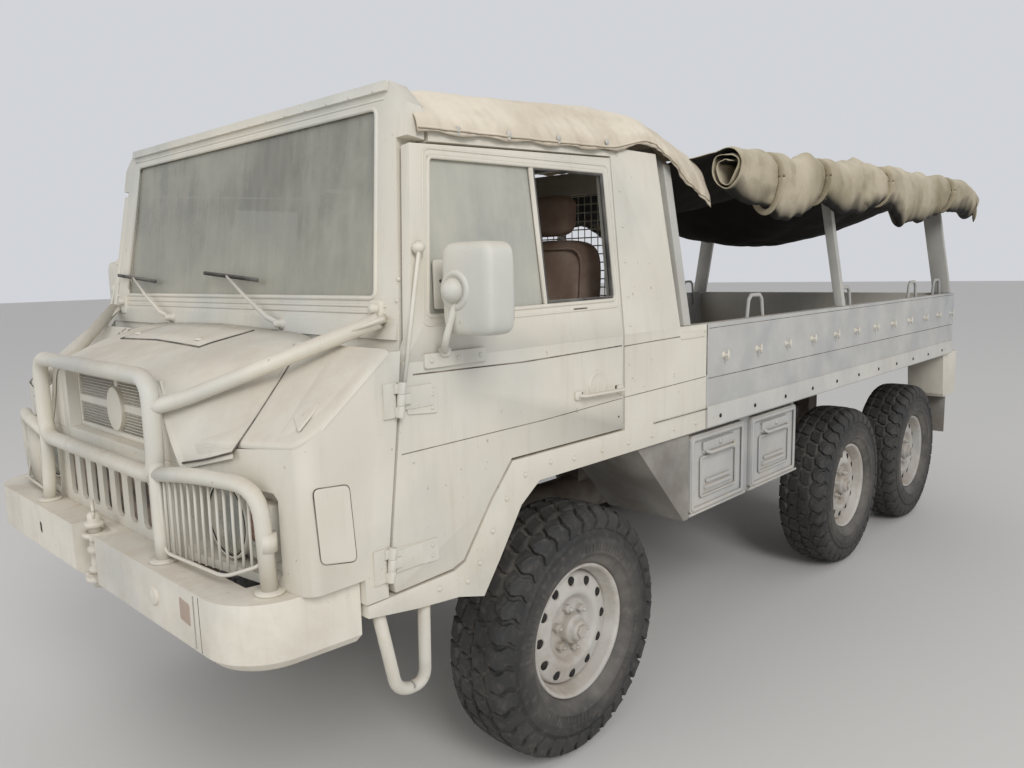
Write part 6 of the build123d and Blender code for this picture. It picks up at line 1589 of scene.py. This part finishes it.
# Its undersides, inside the rolls, take painted shade, nearly black.
finishes["tan_canvas"] = canvas_finish("bed canvas", (0.50, 0.435, 0.32, 1), (0.30, 0.255, 0.165, 1),
                                       dust=(0.60, 0.535, 0.41, 1), grime=0.42, below=0.04)
roll_x = np.linspace(ROLL_FRONT_X, ROLL_REAR_X, ROLL_STATIONS)
low, high = (softened(row[:, None], 6)[:, 0] for row in rows_between(ROLL_ROWS, roll_x))
turns = np.linspace(0, 1, ROLL_COLUMNS)
spiral = ROLL_START - turns * 2 * np.pi * ROLL_TURNS
shrink = 1 - ROLL_TIGHTENS * turns
middle_z, reach_z = ((low + high) / 2)[:, None], ((high - low) / 2)[:, None]
tied = sum(np.exp(-((roll_x - x) / TIE_WIDTH) ** 2) for x in TIES)[:, None]
body_y = ROLL_Y + 0.012 * np.sin(roll_x * 5.2)[:, None]
lumps = rumple(turns[None] * 0.95 + 0 * middle_z, roll_x[:, None], 0.26, 23, 12)
small = rumple(turns[None] * 0.95 + 0 * middle_z, roll_x[:, None], 0.095, 29, 6)
gather = np.sin(spiral[None] * 7 + roll_x[:, None] * 3) * tied
out = shrink[None] * (1 + LUMP * lumps - PINCH * tied + GATHER * gather) + FINE_LUMP * small
swell = 0.95 + 0.075 * np.sin(roll_x * 3.1 + 1)[:, None]
roll_y = body_y + ROLL_HALF_WIDTH * out * np.cos(spiral)[None] * swell
roll_z = middle_z + reach_z * out * np.sin(spiral)[None] + 0.010 * np.cos(spiral * 2)[None]
roll_y, roll_z = softened(roll_y.T, 1).T, softened(roll_z.T, 1).T

# The roof between the two rolls sags in each bay, less in the front one
roof_share = np.linspace(-1, 1, ROOF_COLUMNS)[1:-1]
bay = np.abs(np.sin(np.interp(roll_x, HOOPS, (2, 1, 0)) * np.pi)) ** 0.8
deep = np.interp(roll_x, (-1.9, -1.85), (REAR_SAG, FRONT_SAG))
roof_sag = (bay * deep)[:, None] * np.cos(roof_share * np.pi / 2)[None] ** 0.8
roof_fold = rumple(roof_share[None] * 0.86 + 0 * middle_z, roll_x[:, None], 0.34, 31, 10)
edge_y, edge_z = roll_y[:, :1], roll_z[:, :1]
base_z = edge_z + (ROOF_Z - edge_z) * (1 - np.abs(roof_share)[None] ** 6)
roof_z = base_z - roof_sag + ROOF_CREASE * roof_fold * (0.3 + bay[:, None])
sheet_y = np.concatenate([-roll_y[:, ::-1], edge_y * roof_share[None], roll_y], 1)
sheet_z = np.concatenate([roll_z[:, ::-1], roof_z, roll_z], 1)
tail = np.clip((TAIL_X - roll_x) / TAIL_LENGTH, 0, 1)[:, None]
frayed = FRAY * tail * np.sin(np.linspace(0, 40, sheet_y.shape[1]))[None]
sheet_x = np.broadcast_to(roll_x[:, None], sheet_y.shape) - frayed
bed_points = np.stack([FRONT_AXLE_X + sheet_x, sheet_y, sheet_z - TAIL_DROP * tail], -1)
sheet_piece("bed_cover_rolled", grid(bed_points), 0.0030, "tan_canvas", "bed_tarp", flat=(3.72, 3.12),
            held="folded", rests_on=["bed_hoops"])
bands = []
around = np.linspace(0, 2 * np.pi, TIE_SIDES, endpoint=False)
for x in TIES:
    k = int(np.argmin(np.abs(roll_x - x)))
    band_y = body_y[k, 0] + ROLL_HALF_WIDTH * TIE_SQUEEZE * np.cos(around) * 1.04
    band_z = middle_z[k, 0] + reach_z[k, 0] * TIE_SQUEEZE * np.sin(around) + 0.010 * np.cos(around * 2)
    ring = np.stack([np.full(TIE_SIDES, FRONT_AXLE_X + x), band_y, band_z], -1)
    bands.append(ring_pipe(ring, 0.013, FRONT, 8, flat=0.22))
fitted("bed_cover_ties", "tan_canvas", both_sides(joined(*bands)))

# A loose corner of the cover hangs out of the left roll's rear end
flap_u, flap_v = np.linspace(0, 1, 26)[:, None], np.linspace(0, 1, 26)[None]
flap_x = -3.650 - 0.040 * flap_v - 0.075 * flap_u
flap_y = 0.930 + 0.060 * np.sin(flap_v * 2.6) * (1 - 0.3 * flap_u)
flap_z = 1.975 - 0.165 * flap_v - 0.045 * flap_u + 0.012 * rumple(flap_u * 0.13, flap_v * 0.2, 0.09, 41, 6)
flap = grid(np.stack([FRONT_AXLE_X + flap_x, flap_y, flap_z], -1))
sheet_piece("bed_cover_tail", flap, 0.003, "tan_canvas", None, flat=(0.081, 0.166), held="hung",
            rests_on=["bed_cover_rolled"])


# Seats
# Foam pads in a brown cover on steel shells: two cushions, two backs and two head pads on posts,
# with a welt along each edge.
SEAT_Y = (0.51, -0.51)
PADS = (
    # middle x and z, half sizes, bluntness, dish, lean: cushion, back, head pad
    (-0.004, 1.162, (0.248, 0.205, 0.055), 0.36, (0, 0, 0.022), 0.0),
    (-0.246, 1.430, (0.052, 0.200, 0.200), 0.42, (0.026, 0, 0), 0.10),
    (-0.255, 1.712, (0.038, 0.100, 0.068), 0.50, (0, 0, 0), 0.10),
)
WELT = 0.0045
PUFF_PRESSURE, PUFF_MOMENTS, PUFF_LIMIT = 4, 14, 0.016
CUSHION_WELT = ((-0.22, -0.185), (0.215, -0.185), (0.215, 0.185), (-0.22, 0.185))
CUSHION_TOP = 1.2155
BACK_WELT = ((1.26, -0.175), (1.26, 0.175), (1.60, 0.170), (1.60, -0.170))
finishes["seat_cover"], seat_tree, seat_shader, _ = plain_finish(
    "brown seat cover", (0.34, 0.225, 0.165, 1), (0.52, 0.41, 0.33, 1), (0.40, 0.68, 0.0, 0.65), 0.72,
    scale=8.0, detail=5.0)
seat_weave = value_noise(seat_tree, object_place(seat_tree), scale=300.0, detail=2.0)
relief(seat_tree, seat_weave, 0.3, 0.001, seat_shader)
pads = made("seat_pads", *[block_form(spot(x, y, z), half, bluntness, dish, lean)
                           for y in SEAT_Y for x, z, half, bluntness, dish, lean in PADS])


# The foam is puffed up by a little pressure inside its cover, and no point moves past the limit
before = point_places(pads.data)
puff = pads.modifiers.new("puff", "CLOTH")
puff.settings.quality = 5
puff.settings.use_pressure = True
puff.settings.uniform_pressure_force = PUFF_PRESSURE
puff.settings.effector_weights.gravity = 0
puff.collision_settings.use_collision = False
for moment in range(1, PUFF_MOMENTS + 1):
    bpy.context.scene.frame_set(moment)
with bpy.context.temp_override(object=pads, active_object=pads, selected_objects=[pads]):
    bpy.ops.object.modifier_apply(modifier="puff")
bpy.context.scene.frame_set(1)
moved = point_places(pads.data) - before
far = np.linalg.norm(moved, axis=1, keepdims=True)
moved *= np.minimum(1, PUFF_LIMIT / np.maximum(far, 1e-9))
pads.data.vertices.foreach_set("co", (before + moved).ravel())
pads.data.polygons.foreach_set("use_smooth", np.full(len(pads.data.polygons), True))
ease = pads.modifiers.new("ease", "SMOOTH")
ease.iterations = 4
finer = pads.modifiers.new("finer", "SUBSURF")
finer.levels = 1
finer.render_levels = 1
dress(pads, "seat_cover", "chassis", "seats")
posts = [pipe(spots((-0.262, y + across, 1.60), (-0.262, y + across, 1.68)), 0.006, FRONT, 10)
         for y in SEAT_Y for across in (-0.05, 0.05)]
fitted("headrest_posts", "galvanised", *posts)
welts = []
for y in SEAT_Y:
    cushion = rounded_outline([spot(x, y + across, CUSHION_TOP) for x, across in CUSHION_WELT], 0.04)
    back = rounded_outline([spot(-0.197 - (z - 1.43) * 0.10, y + across, z) for z, across in BACK_WELT], 0.06)
    welts += [ring_pipe(cushion, WELT, UP, 6), ring_pipe(back, WELT, FRONT, 6)]
fitted("seat_welts", "seat_cover", *welts)


# Brake drums
# Cast drums fill the hollow behind each disc. They lie in shade, so a dark disc in every vent hole
# shows what a look through it would.
DRUM = ((0, -0.030), (0.168, -0.030), (0.172, -0.020), (0.172, 0.020), (0.160, 0.028), (0.110, 0.030),
        (0.060, 0.024), (0, 0.024))
VENT_SHADOW = ((VENT_R, 0.046), (VENT_R, 0.0532), (0, 0.0532))
vent_turn = np.arange(VENTS) * 2 * np.pi / VENTS
shadows = repeated(turned(VENT_SHADOW, 14), spun(0, VENT_RING, vent_turn))
# The drums and the vent discs take the near-black hole finish: painted shade.
for name, form in (("brake_drum", turned(DRUM, 40)), ("wheel_vent_shadows", shadows)):
    for station, x in WHEELS:
        for side, hand in SIDES:
            dress(made(f"{name}_{station}_{side}", at_wheel(form, x, hand)), "hole", f"wheel_{station}_{side}")


# The rest
# Every CAD part that nothing stands for keeps its shape, such as the axles, springs and bed floor.
# It gets the finish that its slot in the record names.
for subpart in frame["record"]["subparts"]:
    piece = nodes[subpart["node"]]
    piece.data.materials.clear()
    piece.data.materials.append(finishes[subpart["material_slot"]])

bpy.context.scene.view_settings.view_transform = "Standard"
